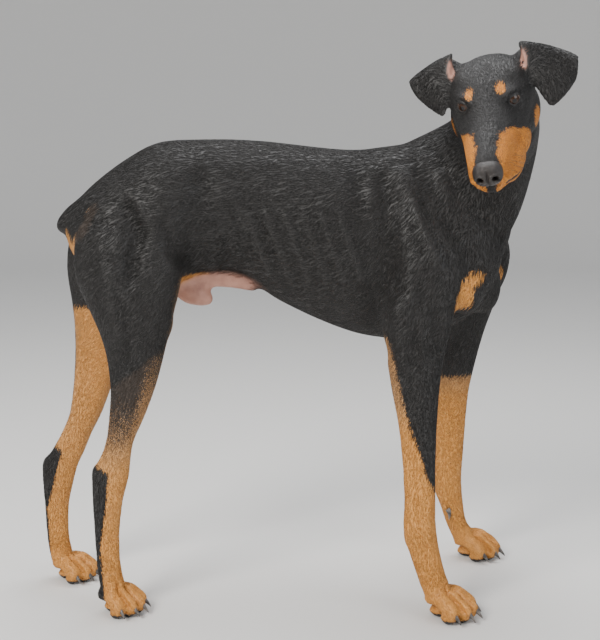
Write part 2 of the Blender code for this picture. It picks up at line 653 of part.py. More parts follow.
def ear_mesh(rows, place):
    """A folded ear: a short back that rises from the skull and a flap hanging from its fold."""
    bm = bmesh.new()
    rows = between([tuple(c for point in row for c in point) for row in rows], 2)
    grid = bmesh.ops.create_grid(
        bm, x_segments=EAR_COLUMNS, y_segments=len(rows) - 1, size=1, calc_uvs=False
    )["verts"]
    for vert in grid:
        u = (vert.co.x + 1) / 2
        row = rows[round((vert.co.y + 1) / 2 * (len(rows) - 1))]
        a, b, c = (Vector(row[k:k + 3]) for k in (0, 3, 6))
        vert.co = place @ (a * (1 - u) * (1 - 2 * u) + b * 4 * u * (1 - u) + c * u * (2 * u - 1))
    bmesh.ops.recalc_face_normals(bm, faces=bm.faces)
    bmesh.ops.solidify(bm, geom=bm.faces[:], thickness=EAR_THICKNESS)
    bmesh.ops.triangulate(bm, faces=bm.faces)
    bmesh.ops.recalc_face_normals(bm, faces=bm.faces)
    return bm


def paw_matrix(name):
    (x, y), turn, size = PAWS[name]
    return (
        Matrix.Translation((x, y, 0))
        @ Matrix.Rotation(math.radians(turn), 4, "Z")
        @ Matrix.Scale(size, 4)
    )


def toe_matrix(name, toe):
    shift, y, spread = toe
    turn = Matrix.Rotation(math.radians(spread), 4, "Z")
    return paw_matrix(name) @ Matrix.Translation((shift, y, 0)) @ turn


def paw_mesh(name):
    """A paw with four arched toes, flat where its pads meet the floor."""
    bm = bmesh.new()
    tube(bm, LEGS[name][-6:], lean="level")
    for toe in TOES:
        place = toe_matrix(name, toe)
        tube(bm, TOE, place, corners=16)
        lump(bm, *TOE_PAD, place)
    lump(bm, *SOLE_PAD, paw_matrix(name))
    lump(bm, *FOOT_BLOCK, paw_matrix(name))
    bm = reduced(remeshed(bm, PAW_VOXEL, 3), PAW_FACES)
    return sliced(bm, [above(-JOINT_GAP / 2), below(PAW_TOP)])


def claw_mesh(place, start, length):
    """A curved, tapered claw along x, from start."""
    bm = bmesh.new()
    rings = []
    for i in range(CLAW_RINGS):
        t = i / (CLAW_RINGS - 1)
        size = CLAW_RADIUS * (1 - t) ** 0.7 + 0.0006
        spot = start + Vector((length * t, 0, -0.55 * length * t * t))
        rings.append((*spot, size, size * 0.75, 0.0))
    tube(bm, rings, place, steps=1, corners=8)
    bmesh.ops.recalc_face_normals(bm, faces=bm.faces)
    return bm


def make_head(place):
    head = sliced(head_mesh(place), [HEAD_CUT])
    for sign, rows, name in ((1, EAR_LEFT, "left"), (-1, EAR_RIGHT, "right")):
        # EXACT leaves nothing of one ear
        ear = booled(ear_mesh(rows, place), fattened(head, JOINT_GAP), "DIFFERENCE", "MANIFOLD")
        keep_shell(ear)
        show("ear_" + name, ear, "coat")
        eye = bmesh.new()
        lump(eye, (0, 0, 0), (EYE_RADIUS,) * 3, gaze_matrix(place, sign))
        show("eye_" + name, eye, "eye")
    nose = booled(nose_mesh(place), fattened(head, JOINT_GAP), "DIFFERENCE")
    keep_shell(nose)
    show("nose", nose, "leather")
    show("head", head, "coat")


def make_body(body):
    show("neck", sliced(body, [NECK_CUT, away(HEAD_CUT)], (0.26, -0.06, 0.68)), "coat")
    show("chest", sliced(body, [away(NECK_CUT), LOIN_CUT, above(ELBOW_HEIGHT)]), "coat")
    show("loin", sliced(body, [away(LOIN_CUT), RUMP_CUT, above(0.44)]), "coat")
    rump = [away(RUMP_CUT), away(THIGH_CUT_RIGHT), away(THIGH_CUT_LEFT)]
    show("rump", sliced(body, rump, (-0.25, -0.03, 0.66)), "coat")


def make_legs(body):
    for side, cut, middle, x, y in (
        ("right", THIGH_CUT_RIGHT, away(GROIN_CUT), -0.240, -0.120),
        ("left", THIGH_CUT_LEFT, GROIN_CUT, -0.290, 0.060),
    ):
        planes = [away(RUMP_CUT), cut, middle, above(KNEE_HEIGHT)]
        show("thigh_" + side, sliced(body, planes, (x, y, 0.45)), "coat")
        planes = [middle, away(RUMP_CUT), below(KNEE_HEIGHT), above(HOCK_HEIGHT)]
        show("gaskin_" + side, sliced(body, planes, (x, y, 0.33)), "coat")
        planes = [middle, away(RUMP_CUT), below(HOCK_HEIGHT), above(PAW_TOP)]
        show("hock_" + side, sliced(body, planes, (x, y, 0.12)), "rust")
    for side, middle, x, y in (
        ("right", (0.0, -1.0, 0.0), 0.17, -0.13),
        ("left", (0.0, 1.0, 0.0), 0.24, 0.15),
    ):
        plane = ((0.2, 0.0, 0.2), middle)
        planes = [plane, LOIN_CUT, below(ELBOW_HEIGHT), above(WRIST_HEIGHT)]
        show("forearm_" + side, sliced(body, planes, (x, y, 0.25)), "rust")
        planes = [plane, LOIN_CUT, below(WRIST_HEIGHT), above(PAW_TOP)]
        show("pastern_" + side, sliced(body, planes, (x, y, 0.10)), "rust")


def make_paws():
    for name in PAWS:
        paw = paw_mesh(name)
        for i, toe in enumerate(TOES):
            claw = claw_mesh(toe_matrix(name, toe), Vector((0.024, 0, 0.0200)), CLAW_LENGTH)
            claw = booled(claw, fattened(paw, JOINT_GAP), "DIFFERENCE")
            keep_shell(claw)
            show(f"claw_{name}_{i + 1}", claw, "claw")
        show("paw_" + name, paw, "rust")


def make_dewclaws(body):
    around = fattened(body, JOINT_GAP)
    for name, (spot, turn) in DEWCLAWS.items():
        place = Matrix.Translation(spot) @ Matrix.Rotation(math.radians(turn), 4, "Z")
        place = place @ Matrix.Rotation(math.radians(50), 4, "Y")
        claw = claw_mesh(place, Vector((0, 0, 0)), CLAW_LENGTH)
        claw = booled(claw, around.copy(), "DIFFERENCE")
        keep_shell(claw)
        show("dewclaw_" + name, claw, "claw")
    around.free()


def make_outgrowth(body, name, tubes, faces, finish):
    """A part that grows from the trunk: the union of its tubes, cut back to the trunk's surface."""
    bm = bmesh.new()
    for rings in tubes:
        tube(bm, rings)
    bm = reduced(remeshed(bm, PAW_VOXEL * 1.5, 6), faces)
    bm = booled(bm, fattened(body, JOINT_GAP), "DIFFERENCE")
    keep_shell(bm)
    show(name, bm, finish)


def settle():
    """Scales the dog to its height and puts the middle of its bounding box's base on the origin."""
    spots = [v.co for thing in bpy.data.objects for v in thing.data.vertices]
    low = Vector(min(spot[i] for spot in spots) for i in range(3))
    high = Vector(max(spot[i] for spot in spots) for i in range(3))
    base = Vector(((low.x + high.x) / 2, (low.y + high.y) / 2, low.z))
    change = Matrix.Scale(WITHERS_HEIGHT / TABLE_HEIGHT, 4) @ Matrix.Translation(-base)
    for thing in bpy.data.objects:
        thing.data.transform(change)
    return base


def main():
    clear_scene()
    place = head_matrix()
    body = body_mesh(place)
    make_head(place)
    make_body(body)
    make_legs(body)
    make_paws()
    make_dewclaws(body)
    make_outgrowth(body, "tail", (TAIL,), TAIL_FACES, "coat")
    make_outgrowth(body, "sheath", (SHEATH_WEB, SHEATH), SHEATH_FACES, "skin")
    return settle()


if __name__ == "__main__":
    main()
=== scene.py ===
"""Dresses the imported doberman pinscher: skin, short coat, eyes, nose, whiskers, claws and a studio.

Sizes are metres in the frame of the solids: +X towards the chest, +Y to the dog's left, +Z up.
The head has a frame of its own, with x towards the nose, y to the dog's left and z to the crown.
"""

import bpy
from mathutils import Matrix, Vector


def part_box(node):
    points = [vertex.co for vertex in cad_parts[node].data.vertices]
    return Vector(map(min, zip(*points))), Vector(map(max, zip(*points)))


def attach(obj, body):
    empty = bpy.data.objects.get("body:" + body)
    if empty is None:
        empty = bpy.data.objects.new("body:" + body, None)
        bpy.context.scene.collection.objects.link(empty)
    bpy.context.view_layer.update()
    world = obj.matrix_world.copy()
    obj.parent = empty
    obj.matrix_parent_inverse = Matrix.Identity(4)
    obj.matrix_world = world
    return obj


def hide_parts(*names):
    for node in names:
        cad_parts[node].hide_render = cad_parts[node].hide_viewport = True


bl_info = {
    "name": "Doberman Pinscher",
    "version": (1, 0, 0),
    "blender": (4, 5, 0),
    "location": "3D View > Sidebar > Dog",
    "description": "Skin, short coat, eyes, nose, whiskers and claws of a standing doberman pinscher",
    "category": "Add Mesh",
}

import math

import bmesh
import bpy
import numpy as np
from bpy.props import FloatProperty, FloatVectorProperty, IntProperty, PointerProperty
from mathutils import Matrix, Vector
from mathutils.bvhtree import BVHTree

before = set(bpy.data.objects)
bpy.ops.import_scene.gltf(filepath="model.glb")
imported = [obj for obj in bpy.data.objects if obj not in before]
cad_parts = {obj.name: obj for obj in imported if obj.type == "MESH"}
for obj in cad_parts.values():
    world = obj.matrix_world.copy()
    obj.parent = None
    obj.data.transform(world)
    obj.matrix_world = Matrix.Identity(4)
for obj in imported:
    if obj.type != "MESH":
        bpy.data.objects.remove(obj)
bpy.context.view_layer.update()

# Frames of the head and the eyes

HEAD_YAW = math.radians(11.5)  # away from straight to the dog's right
HEAD_PITCH = math.radians(28)
HEAD_ROLL = math.radians(9)
EYE_CENTRE = (-0.0085, 0.0290, 0.0)  # of the left eye, in the head frame
EYE_TURN = math.radians(27)  # of the gaze, outwards
EYE_RADIUS = 0.0115
NOSE_CENTRE = (0.1195, 0.0, -0.0350)
NOSE_RADII = (0.0135, 0.0190, 0.0160)


def node_middle(*names):
    """The middle of the boxes of some solids."""
    corners = [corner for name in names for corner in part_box(name)]
    low = Vector([min(corner[k] for corner in corners) for k in range(3)])
    high = Vector([max(corner[k] for corner in corners) for k in range(3)])
    return (low + high) / 2


def head_frame():
    """Carries the head frame to the dog's frame; it is hung between the two eyes."""
    forward = Vector(
        (
            -math.sin(HEAD_YAW) * math.cos(HEAD_PITCH),
            -math.cos(HEAD_YAW) * math.cos(HEAD_PITCH),
            -math.sin(HEAD_PITCH),
        )
    )
    level_left = Vector((math.cos(HEAD_YAW), -math.sin(HEAD_YAW), 0))
    left = level_left * math.cos(HEAD_ROLL) + forward.cross(level_left) * math.sin(HEAD_ROLL)
    turn = Matrix((forward, left, forward.cross(left))).transposed()
    middle = (node_middle("eye_left") + node_middle("eye_right")) / 2
    spot = middle - turn @ Vector((EYE_CENTRE[0], 0, 0))
    return Matrix.Translation(spot) @ turn.to_4x4()


HEAD = head_frame()


def gaze_frame(side):
    """The frame of one eye, with x along its gaze; side is 1 on the left and -1 on the right."""
    centre = Vector((EYE_CENTRE[0], EYE_CENTRE[1] * side, EYE_CENTRE[2]))
    return HEAD @ Matrix.Translation(centre) @ Matrix.Rotation(EYE_TURN * side, 4, "Z")


def seen_from(matrix, points):
    """Points of the dog's frame in the frame that matrix carries."""
    turn = np.array(matrix.to_3x3())
    return (points - np.array(matrix.translation)) @ turn


def turned_to(matrix, vectors):
    """Directions of the frame that matrix carries, in the dog's frame."""
    return np.asarray(vectors) @ np.array(matrix.to_3x3()).T


# Arithmetic on rows of points

def ease(low, high, value):
    """0 below low, 1 above high, and smooth between them."""
    t = np.clip((value - low) / (high - low), 0, 1)
    return t * t * (3 - 2 * t)


def unit(vectors):
    """The same directions, with a length of 1."""
    return vectors / np.maximum(np.linalg.norm(vectors, axis=1, keepdims=True), 1e-9)


def inside(points, centre, radii):
    """1 at the centre of an ellipsoid, 0 on its surface and less outside."""
    return 1 - np.linalg.norm((points - np.array(centre)) / np.array(radii), axis=1)


def line_distance(points, line):
    """Distance of each point from a line of points, in the plane or in space."""
    line = np.asarray(line, float)
    best = np.full(len(points), np.inf)
    for start, end in zip(line, line[1:]):
        span = end - start
        along = np.clip((points - start) @ span / (span @ span), 0, 1)
        away = np.linalg.norm(points - start - along[:, None] * span, axis=1)
        best = np.minimum(best, away)
    return best


RIPPLE_WAVES = 7
RIPPLE_PEAK = 3.2  # the sum of the waves is brought to about 1 by this


def ripple(points, size, seed):
    """Smooth noise from -1 to 1 made of a few waves about size across."""
    draw = np.random.default_rng(seed)
    total = np.zeros(len(points))
    for _ in range(RIPPLE_WAVES):
        wave = unit(draw.normal(size=(1, 3)))[0] * (2 * math.pi / size) * draw.uniform(0.6, 1.5)
        total += np.sin(points @ wave + draw.uniform(0, 2 * math.pi))
    return total / RIPPLE_PEAK


# Mesh data as arrays

def read(items, key, width, kind=np.float32):
    """One property of all the items of a mesh, as rows of width numbers."""
    flat = np.empty(len(items) * width, kind)
    items.foreach_get(key, flat)
    return flat.reshape(-1, width)


def coordinates(mesh):
    """The points of a mesh as rows of x, y and z."""
    return read(mesh.vertices, "co", 3).astype(float)


def normals(mesh):
    """The way that the surface faces at each point of a mesh."""
    return read(mesh.vertices, "normal", 3).astype(float)


def move_to(mesh, points):
    """Moves the points of a mesh."""
    mesh.vertices.foreach_set("co", points.astype(np.float32).ravel())
    mesh.update()


def edge_ends(mesh):
    """The numbers of the two points of each edge."""
    return read(mesh.edges, "vertices", 2, np.int32).T


def spread(values, ends, passes, weight):
    """Evens values out over neighbouring vertices, by weight at each vertex."""
    first, second = ends
    count = np.bincount(first, minlength=len(values)) + np.bincount(second, minlength=len(values))
    values = values.copy()
    for _ in range(passes):
        for k in range(values.shape[1]):
            column = values[:, k]
            total = np.bincount(first, column[second], len(values))
            total += np.bincount(second, column[first], len(values))
            values[:, k] += (total / count - column) * weight
    return values


def give(mesh, name, values):
    """Stores one number a vertex, for the materials."""
    layer = mesh.attributes.new(name, "FLOAT", "POINT")
    layer.data.foreach_set("value", np.ascontiguousarray(values, np.float32))


def mesh_of(form, name):
    """A mesh of what has been modelled in a bmesh, which is freed."""
    mesh = bpy.data.meshes.new(name)
    form.to_mesh(mesh)
    form.free()
    return mesh


def surface_tree(mesh):
    """The surface of a mesh, to find its nearest points with."""
    faces = [tuple(face.vertices) for face in mesh.polygons]
    return BVHTree.FromPolygons(coordinates(mesh).tolist(), faces)


def linked(name, data):
    """Adds an object to the scene."""
    item = bpy.data.objects.new(name, data)
    bpy.context.scene.collection.objects.link(item)
    return item


def finished(name, mesh, material, replaced=()):
    """Adds a piece of the dog to the scene, with its finish and the solids that it stands for."""
    piece = linked(name, mesh)
    mesh.materials.clear()
    mesh.materials.append(material)
    mesh.shade_smooth()
    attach(piece, "root")
    if replaced:
        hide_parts(*replaced)


def modified(mesh, kind, **settings):
    """The mesh after one modifier."""
    holder = linked("holder", mesh)
    modifier = holder.modifiers.new(kind.title(), kind)
    for key, value in settings.items():
        setattr(modifier, key, value)
    ready = holder.evaluated_get(bpy.context.evaluated_depsgraph_get())
    result = bpy.data.meshes.new_from_object(ready)
    bpy.data.objects.remove(holder)
    return result


# Materials

class Shader:
    """A material in the making. node() adds any node; values of nodes take part in sums."""

    def __init__(self, name):
        self.material = bpy.data.materials.new(name)
        self.material.use_nodes = True
        self.tree = self.material.node_tree
        self.principled = self.tree.nodes["Principled BSDF"]

    def node(self, kind, inputs, out=0, stops=(), **settings):
        """Adds a node: its settings and stops first, then the values or links of its sockets."""
        node = self.tree.nodes.new(kind)
        for key, value in settings.items():
            setattr(node, key, value)
        for k, (place, colour) in enumerate(stops):
            ramp = node.color_ramp.elements
            stop = ramp[k] if k < 2 else ramp.new(place)
            stop.position = place
            stop.color = (*colour, 1)
        for key, value in inputs.items():
            self.feed(node.inputs[key], value)
        return Value(self, node.outputs[out])

    def feed(self, socket, value):
        """Links a value to a socket, or sets a constant on it."""
        if isinstance(value, Value):
            self.tree.links.new(value.socket, socket)
        elif hasattr(value, "__len__") and len(value) == 3 and socket.type == "RGBA":
            socket.default_value = (*value, 1)
        else:
            socket.default_value = value

    def attribute(self, name):
        """A number stored at the points of the mesh."""
        return self.node("ShaderNodeAttribute", {}, out=2, attribute_name=name)

    def place(self):
        """Object coordinates."""
        return self.node("ShaderNodeTexCoord", {}, out=3)

    def noise(self, scale, detail=3, vector=None):
        """Noise from 0 to 1."""
        inputs = {"Vector": vector or self.place(), "Scale": scale, "Detail": detail}
        return self.node("ShaderNodeTexNoise", inputs)

    def mix(self, share, first, second):
        """The first colour where share is 0 and the second where it is 1."""
        inputs = {0: share, 6: first, 7: second}
        return self.node("ShaderNodeMix", inputs, out=2, data_type="RGBA")

    def step(self, low, high, value):
        """0 below low, 1 above high, and smooth between them."""
        inputs = {"Value": value, "From Min": low, "From Max": high}
        return self.node("ShaderNodeMapRange", inputs, interpolation_type="SMOOTHSTEP")

    def bump(self, height, distance, strength):
        """A normal that a height in the material tilts."""
        inputs = {"Strength": strength, "Distance": distance, "Height": height}
        return self.node("ShaderNodeBump", inputs)

    def finish(self, **sockets):
        """Sets sockets of the surface, with _ for a space in their names."""
        for key, value in sockets.items():
            self.feed(self.principled.inputs[key.replace("_", " ")], value)
        return self.material


class Value:
    """A socket of a material's nodes that can be added to, multiplied and so on."""

    def __init__(self, shader, socket):
        self.shader = shader
        self.socket = socket

    def math(self, operation, first, second):
        """The result of a Math node."""
        inputs = {0: first, 1: second}
        return self.shader.node("ShaderNodeMath", inputs, operation=operation)

    def __add__(self, other):
        return self.math("ADD", self, other)

    def __radd__(self, other):
        return self.math("ADD", other, self)

    def __sub__(self, other):
        return self.math("SUBTRACT", self, other)

    def __rsub__(self, other):
        return self.math("SUBTRACT", other, self)

    def __mul__(self, other):
        return self.math("MULTIPLY", self, other)

    def __rmul__(self, other):
        return self.math("MULTIPLY", other, self)


# Regions and marks of the coat

# Each ellipsoid is a middle and three radii
HEAD_REGION = ((0.0, 0.0, -0.02), (0.17, 0.15, 0.105))
BROW_LEFT = ((-0.0035, 0.0180, 0.0170), (0.0100, 0.0062, 0.0076))
BROW_RIGHT = ((0.0000, -0.0226, 0.0160), (0.0092, 0.0054, 0.0074))
CHEEK = ((-0.036, 0.0565, -0.043), (0.012, 0.016, 0.0135))
THROAT = ((-0.045, 0.0, -0.088), (0.050, 0.026, 0.030))
EAR_SLIT = ((-0.050, 0.0475, 0.033), (0.0135, 0.0060, 0.0170))
GROIN = ((-0.185, 0.020, 0.440), (0.055, 0.046, 0.050))
SHEATH = ((-0.115, 0.033, 0.468), (0.085, 0.034, 0.036))
# Top edge of the muzzle's rust: x and z in the head frame
MUZZLE_TOP_X = (-0.020, 0.0148, 0.044, 0.067, 0.085, 0.109, 0.122)
MUZZLE_TOP_Z = (-0.060, -0.0336, -0.0165, -0.0095, -0.0100, -0.0175, -0.030)
BRIDGE_HALF_WIDTH = 0.0125
# Edge of the black down a foreleg, and down the back of a hind leg: heights, and x from the axis
FORELEG_HEIGHTS = (0.187, 0.214, 0.250, 0.280, 0.327, 0.404, 0.44)
FORELEG_EDGE = (0.024, 0.010, 0.001, -0.010, -0.022, -0.036, -0.06)
HINDLEG_HEIGHTS = (0.03, 0.10, 0.17, 0.215, 0.240)
HINDLEG_EDGE = (-0.018, -0.0085, -0.0040, -0.002, -0.05)


def head_share(points):
    """1 on the head and ears, 0 on the body."""
    return ease(0.0, 0.25, inside(seen_from(HEAD, points), *HEAD_REGION))


def ear_share(points):
    """1 on the flaps of the ears."""
    local = seen_from(HEAD, points)
    aside = ease(0.054, 0.064, np.abs(local[:, 1]))
    return aside * head_share(points) * ease(-0.10, -0.09, local[:, 0])


def paw_share(points):
    """1 on the paws, 0 above them."""
    return 1 - ease(0.050, 0.085, points[:, 2])


LEG_AXES = {
    "fore_right": ((0.184, -0.050, 0.40), (0.189, -0.052, 0.23), (0.192, -0.052, 0.12), (0.225, -0.05, 0.03)),
    "fore_left": ((0.263, 0.140, 0.40), (0.262, 0.180, 0.23), (0.262, 0.194, 0.12), (0.300, 0.205, 0.03)),
    "hind_right": ((-0.218, -0.032, 0.40), (-0.232, -0.034, 0.295), (-0.256, -0.035, 0.21),
                   (-0.264, -0.035, 0.10), (-0.250, -0.035, 0.03)),
    "hind_left": ((-0.282, 0.082, 0.40), (-0.312, 0.091, 0.277), (-0.343, 0.097, 0.212),
                  (-0.365, 0.103, 0.12), (-0.352, 0.103, 0.03)),
}


def leg_place(points, name):
    """How far fore and how far to the left of a leg's axis each point lies at its own height."""
    axis = np.array(LEG_AXES[name])[::-1]
    x = np.interp(points[:, 2], axis[:, 2], axis[:, 0])
    y = np.interp(points[:, 2], axis[:, 2], axis[:, 1])
    return points[:, 0] - x, points[:, 1] - y


def head_marks(points):
    """Rust on the head: over the eyes, on the sides of the muzzle, the cheeks and the throat."""
    q = seen_from(HEAD, points)
    x, z = q[:, 0], q[:, 2]
    aside = np.abs(q[:, 1])
    spot = np.where(q[:, 1] > 0, inside(q, *BROW_LEFT), inside(q, *BROW_RIGHT)) * 0.008
    top = np.interp(x, MUZZLE_TOP_X, MUZZLE_TOP_Z)
    muzzle = np.minimum.reduce([top - z, aside - BRIDGE_HALF_WIDTH, x + 0.012])
    lip = np.minimum.reduce([x + 0.005, 0.118 - x, -0.050 - z])
    philtrum = np.maximum(0.010 - aside, 0) * ease(0.095, 0.105, x) * 2
    cheek = inside(np.stack([x, aside, z], 1), *CHEEK) * 0.010
    throat = inside(q, *THROAT) * 0.020
    edge = np.maximum.reduce([spot, np.maximum(muzzle, lip) - philtrum, cheek, throat])
    edge += 0.0010 * ripple(q, 0.012, 8)
    return np.where(head_share(points) > 0, edge, -1)


TAIL_AXIS = ((-0.250, 0.022, 0.612), (-0.288, 0.021, 0.592), (-0.309, 0.020, 0.579), (-0.330, 0.020, 0.557))
UNDER_TAIL = ((-0.2714, 0.0724, 0.5953), (-0.2850, 0.0780, 0.5660), (-0.3070, 0.0500, 0.5340))
TAIL_MIDDLE = 0.0205
CHEST_MIDDLE = 0.010
CHEST_SPOT = (0.048, 0.500)
CHEST_STRIPE = ((0.056, 0.494), (0.057, 0.474), (0.049, 0.448))


def body_marks(points):
    """Rust on the chest, under the tail and inside the thighs."""
    beside = np.abs(points[:, 1] - CHEST_MIDDLE)
    flat = np.stack([beside, points[:, 2]], 1)
    spot = 0.0085 - np.linalg.norm(flat - CHEST_SPOT, axis=1)
    patch = np.maximum(spot, 0.0058 - line_distance(flat, CHEST_STRIPE))
    patch += 0.0015 * ripple(points, 0.016, 9)
    patch = np.where((points[:, 0] > 0.20) & (points[:, 2] < 0.56), patch, -1)
    folded = points.copy()
    folded[:, 1] = TAIL_MIDDLE + np.abs(points[:, 1] - TAIL_MIDDLE)
    behind = 0.0085 - line_distance(folded, UNDER_TAIL) - 0.1 * ease(0, 0.01, points[:, 1] - TAIL_MIDDLE)
    middle = inside(points, (-0.300, TAIL_MIDDLE, 0.545), (0.030, 0.034, 0.034)) * 0.03
    under_tail = np.minimum(np.maximum(behind, middle), line_distance(points, TAIL_AXIS) - 0.0195)
    groin = inside(points, *GROIN) * 0.040
    return np.maximum.reduce([patch, under_tail, groin])


def foreleg_marks(points, name, out):
    """Rust behind and within, with black down the front as far as above the wrist."""
    fore, left = leg_place(points, name)
    outward = left * out
    z = points[:, 2]
    line = np.interp(z, FORELEG_HEIGHTS, FORELEG_EDGE)
    inner = np.minimum(0.322 - z, -0.003 - outward)
    marked = np.maximum.reduce([(line - fore) * 0.55, inner * 0.5, 0.185 - z])
    return np.minimum.reduce([marked, 0.068 - np.hypot(fore, left), 0.43 - z])


def hindleg_marks(points, name, out):
    """Rust within and in front, sooty outside, with black down the back of the metatarsus."""
    fore, left = leg_place(points, name)
    outward = left * out
    z = points[:, 2]
    outer = (0.362 - z + fore * 0.8) * 0.3
    front = np.minimum(fore - 0.037 - 0.2 * (z - 0.354), 0.50 - z)
    inner = np.minimum(0.445 - z, 0.004 - outward) * 0.5
    rear = np.interp(z, HINDLEG_HEIGHTS, HINDLEG_EDGE)
    rear += np.where(outward < 0, -0.006, 0)
    shank = np.maximum.reduce([outer, inner, front])
    return np.minimum.reduce([shank, fore - rear, 0.12 - np.hypot(fore, left)])


# Name of a leg's axis, whether it is a foreleg, whether it is a left one, and the sign of its outer side
LEG_SIDES = (
    ("fore_right", True, False, -1),
    ("fore_left", True, True, 1),
    ("hind_right", False, False, -1),
    ("hind_left", False, True, 1),
)


def coat_marks(points):
    """How far inside the rust marks each point lies, in metres; below 0 is black."""
    edge = np.maximum(head_marks(points), body_marks(points))
    fore = points[:, 0] > 0.05
    aside = points[:, 1] > np.where(fore, 0.04, 0.030)
    for name, is_fore, is_left, out in LEG_SIDES:
        here = (points[:, 2] < 0.50) & (fore == is_fore) & (aside == is_left)
        legs = (foreleg_marks if is_fore else hindleg_marks)(points[here], name, out)
        edge[here] = np.maximum(edge[here], legs)
    return edge


def soot(points):
    """How much black hair is mixed into the rust, most on the outer side of the hind legs."""
    mixed = np.zeros(len(points))
    z = points[:, 2]
    aside = points[:, 1] > 0.030
    for name, _, is_left, out in LEG_SIDES[2:]:
        fore, left = leg_place(points, name)
        outward = ease(-0.022, 0.006, left * out) * (0.90 - 0.35 * ease(0.004, 0.030, fore))
        height = ease(0.19, 0.28, z) * 0.48 + ease(0.26, 0.40, z) * 0.45
        here = (points[:, 0] < -0.15) & (aside == is_left)
        mixed = np.where(here, outward * height + 0.10 * ease(0.05, 0.2, z), mixed)
    high_foreleg = ease(0.27, 0.33, z) * 0.45 * (points[:, 0] > 0.05) * (z < 0.45)
    return np.maximum(mixed, high_foreleg)


def bare_skin(points, facing):
    """1 where dark leathery skin shows: lips, the rims of the lids and the pads."""
    q = seen_from(HEAD, points)
    flank = q[:, (0, 2)]
    lips = 1 - ease(0.0016, 0.0030, line_distance(flank, MOUTH_LINE))
    lips *= ease(0.007, 0.012, np.abs(q[:, 1])) * (head_share(points) > 0.2)
    rims = np.zeros(len(points))
    for side in (1, -1):
        rim, _ = lid_place(seen_from(gaze_frame(side), points), side)
        rims = np.maximum(rims, 1 - ease(0.0012, 0.0024, rim))
    pads = (1 - ease(0.0065, 0.0095, points[:, 2])) * ease(0.35, -0.15, facing[:, 2])
    return np.clip(np.maximum.reduce([lips, rims, pads]), 0, 1)


def pink_skin(points):
    """1 where pale skin shows: the sheath, the groin and inside the ears."""
    sheath = ease(-0.10, 0.35, inside(points, *SHEATH))
    q = seen_from(HEAD, points)
    q[:, 1] = np.abs(q[:, 1])
    slit = ease(0.0, 0.3, inside(q, *EAR_SLIT))
    return np.maximum(sheath, slit)


# The head's fine forms

MOUTH_LINE = ((0.110, -0.0560), (0.100, -0.0605), (0.082, -0.0635), (0.060, -0.0640), (0.038, -0.0600),
              (0.022, -0.0530))
LID_HALF_WIDTH = 0.0104
UPPER_LID = 0.0070
LOWER_LID = 0.0056
LID_SLANT = math.radians(-8)


def lid_place(local, side):
    """Distance outside the opening of the lids, seen along the gaze, and height above its middle."""
    u, v = local[:, 1] * side, local[:, 2]
    cosine, sine = math.cos(LID_SLANT), math.sin(LID_SLANT)
    u, v = u * cosine - v * sine, u * sine + v * cosine
    arch = np.sqrt(np.clip(1 - (u / LID_HALF_WIDTH) ** 2, 0, 1)) ** 1.15
    height = np.where(v > 0, UPPER_LID, LOWER_LID) * arch
    past = np.maximum(np.abs(u) - LID_HALF_WIDTH, 0)
    away = np.where(past > 0, np.hypot(past, v), np.abs(v) - height)
    away = np.where((local[:, 0] > 0) & (np.linalg.norm(local, axis=1) < 0.030), away, 1.0)
    return away, v


class Clay:
    """A mesh being modelled: its points and their normals."""

    def __init__(self, mesh):
        self.mesh = mesh
        self.points = coordinates(mesh)
        self.normals = normals(mesh)

    def settle(self):
        """Writes the points to the mesh and reads its new normals."""
        move_to(self.mesh, self.points)
        self.normals = normals(self.mesh)

    def stroke(self, matrix, drop, side, line, width, height, between):
        """Raises, or with a negative height sinks, the surface along a line drawn on one side.

        drop is the axis that the line is seen along, side the sign of that axis that it faces,
        and between holds the least and the most that the surface lies at on that axis.
        """
        local = seen_from(matrix, self.points)
        axes = [axis for axis in range(3) if axis != drop]
        box = np.array(line)
        near = np.all(local[:, axes] > box.min(0) - width, axis=1)
        near &= np.all(local[:, axes] < box.max(0) + width, axis=1)
        near &= (local[:, drop] > between[0]) & (local[:, drop] < between[1])
        spots = np.flatnonzero(near)
        away = line_distance(local[spots][:, axes], line)
        facing = self.normals[spots] @ np.array(matrix.to_3x3())[:, drop]
        fall = 0.5 + 0.5 * np.cos(np.pi * np.minimum(away / width, 1))
        lift = height * fall * ease(0.10, 0.45, facing * side)
        self.points[spots] += self.normals[spots] * lift[:, None]

    def lids(self, side):
        """Opens the lids over the eyeball, with a thick rim and the folds around it."""
        matrix = gaze_frame(side)
        local = seen_from(matrix, self.points)
        away, above = lid_place(local, side)
        spots = np.flatnonzero(away < 0.012)
        local, away, above = local[spots], away[spots], above[spots]
        radius = np.linalg.norm(local, axis=1)
        rim = np.where(away < 0, EYE_RADIUS - 0.0012, EYE_RADIUS + 0.0010 + 0.16 * away)
        rim = rim + (EYE_RADIUS - 0.0012 - rim) * (1 - ease(-0.0004, 0.0005, away))
        fold = np.exp(-((away - 0.0052) / 0.0011) ** 2) * np.where(above > 0, -0.0010, -0.0006)
        share = 1 - ease(0.0035, 0.0085, away)
        wanted = radius + (rim - radius) * share + fold
        local *= (wanted / radius)[:, None]
        self.points[spots] = turned_to(matrix, local) + np.array(matrix.translation)


# Muscles, paws and head

FLANK = Matrix.Identity(4)
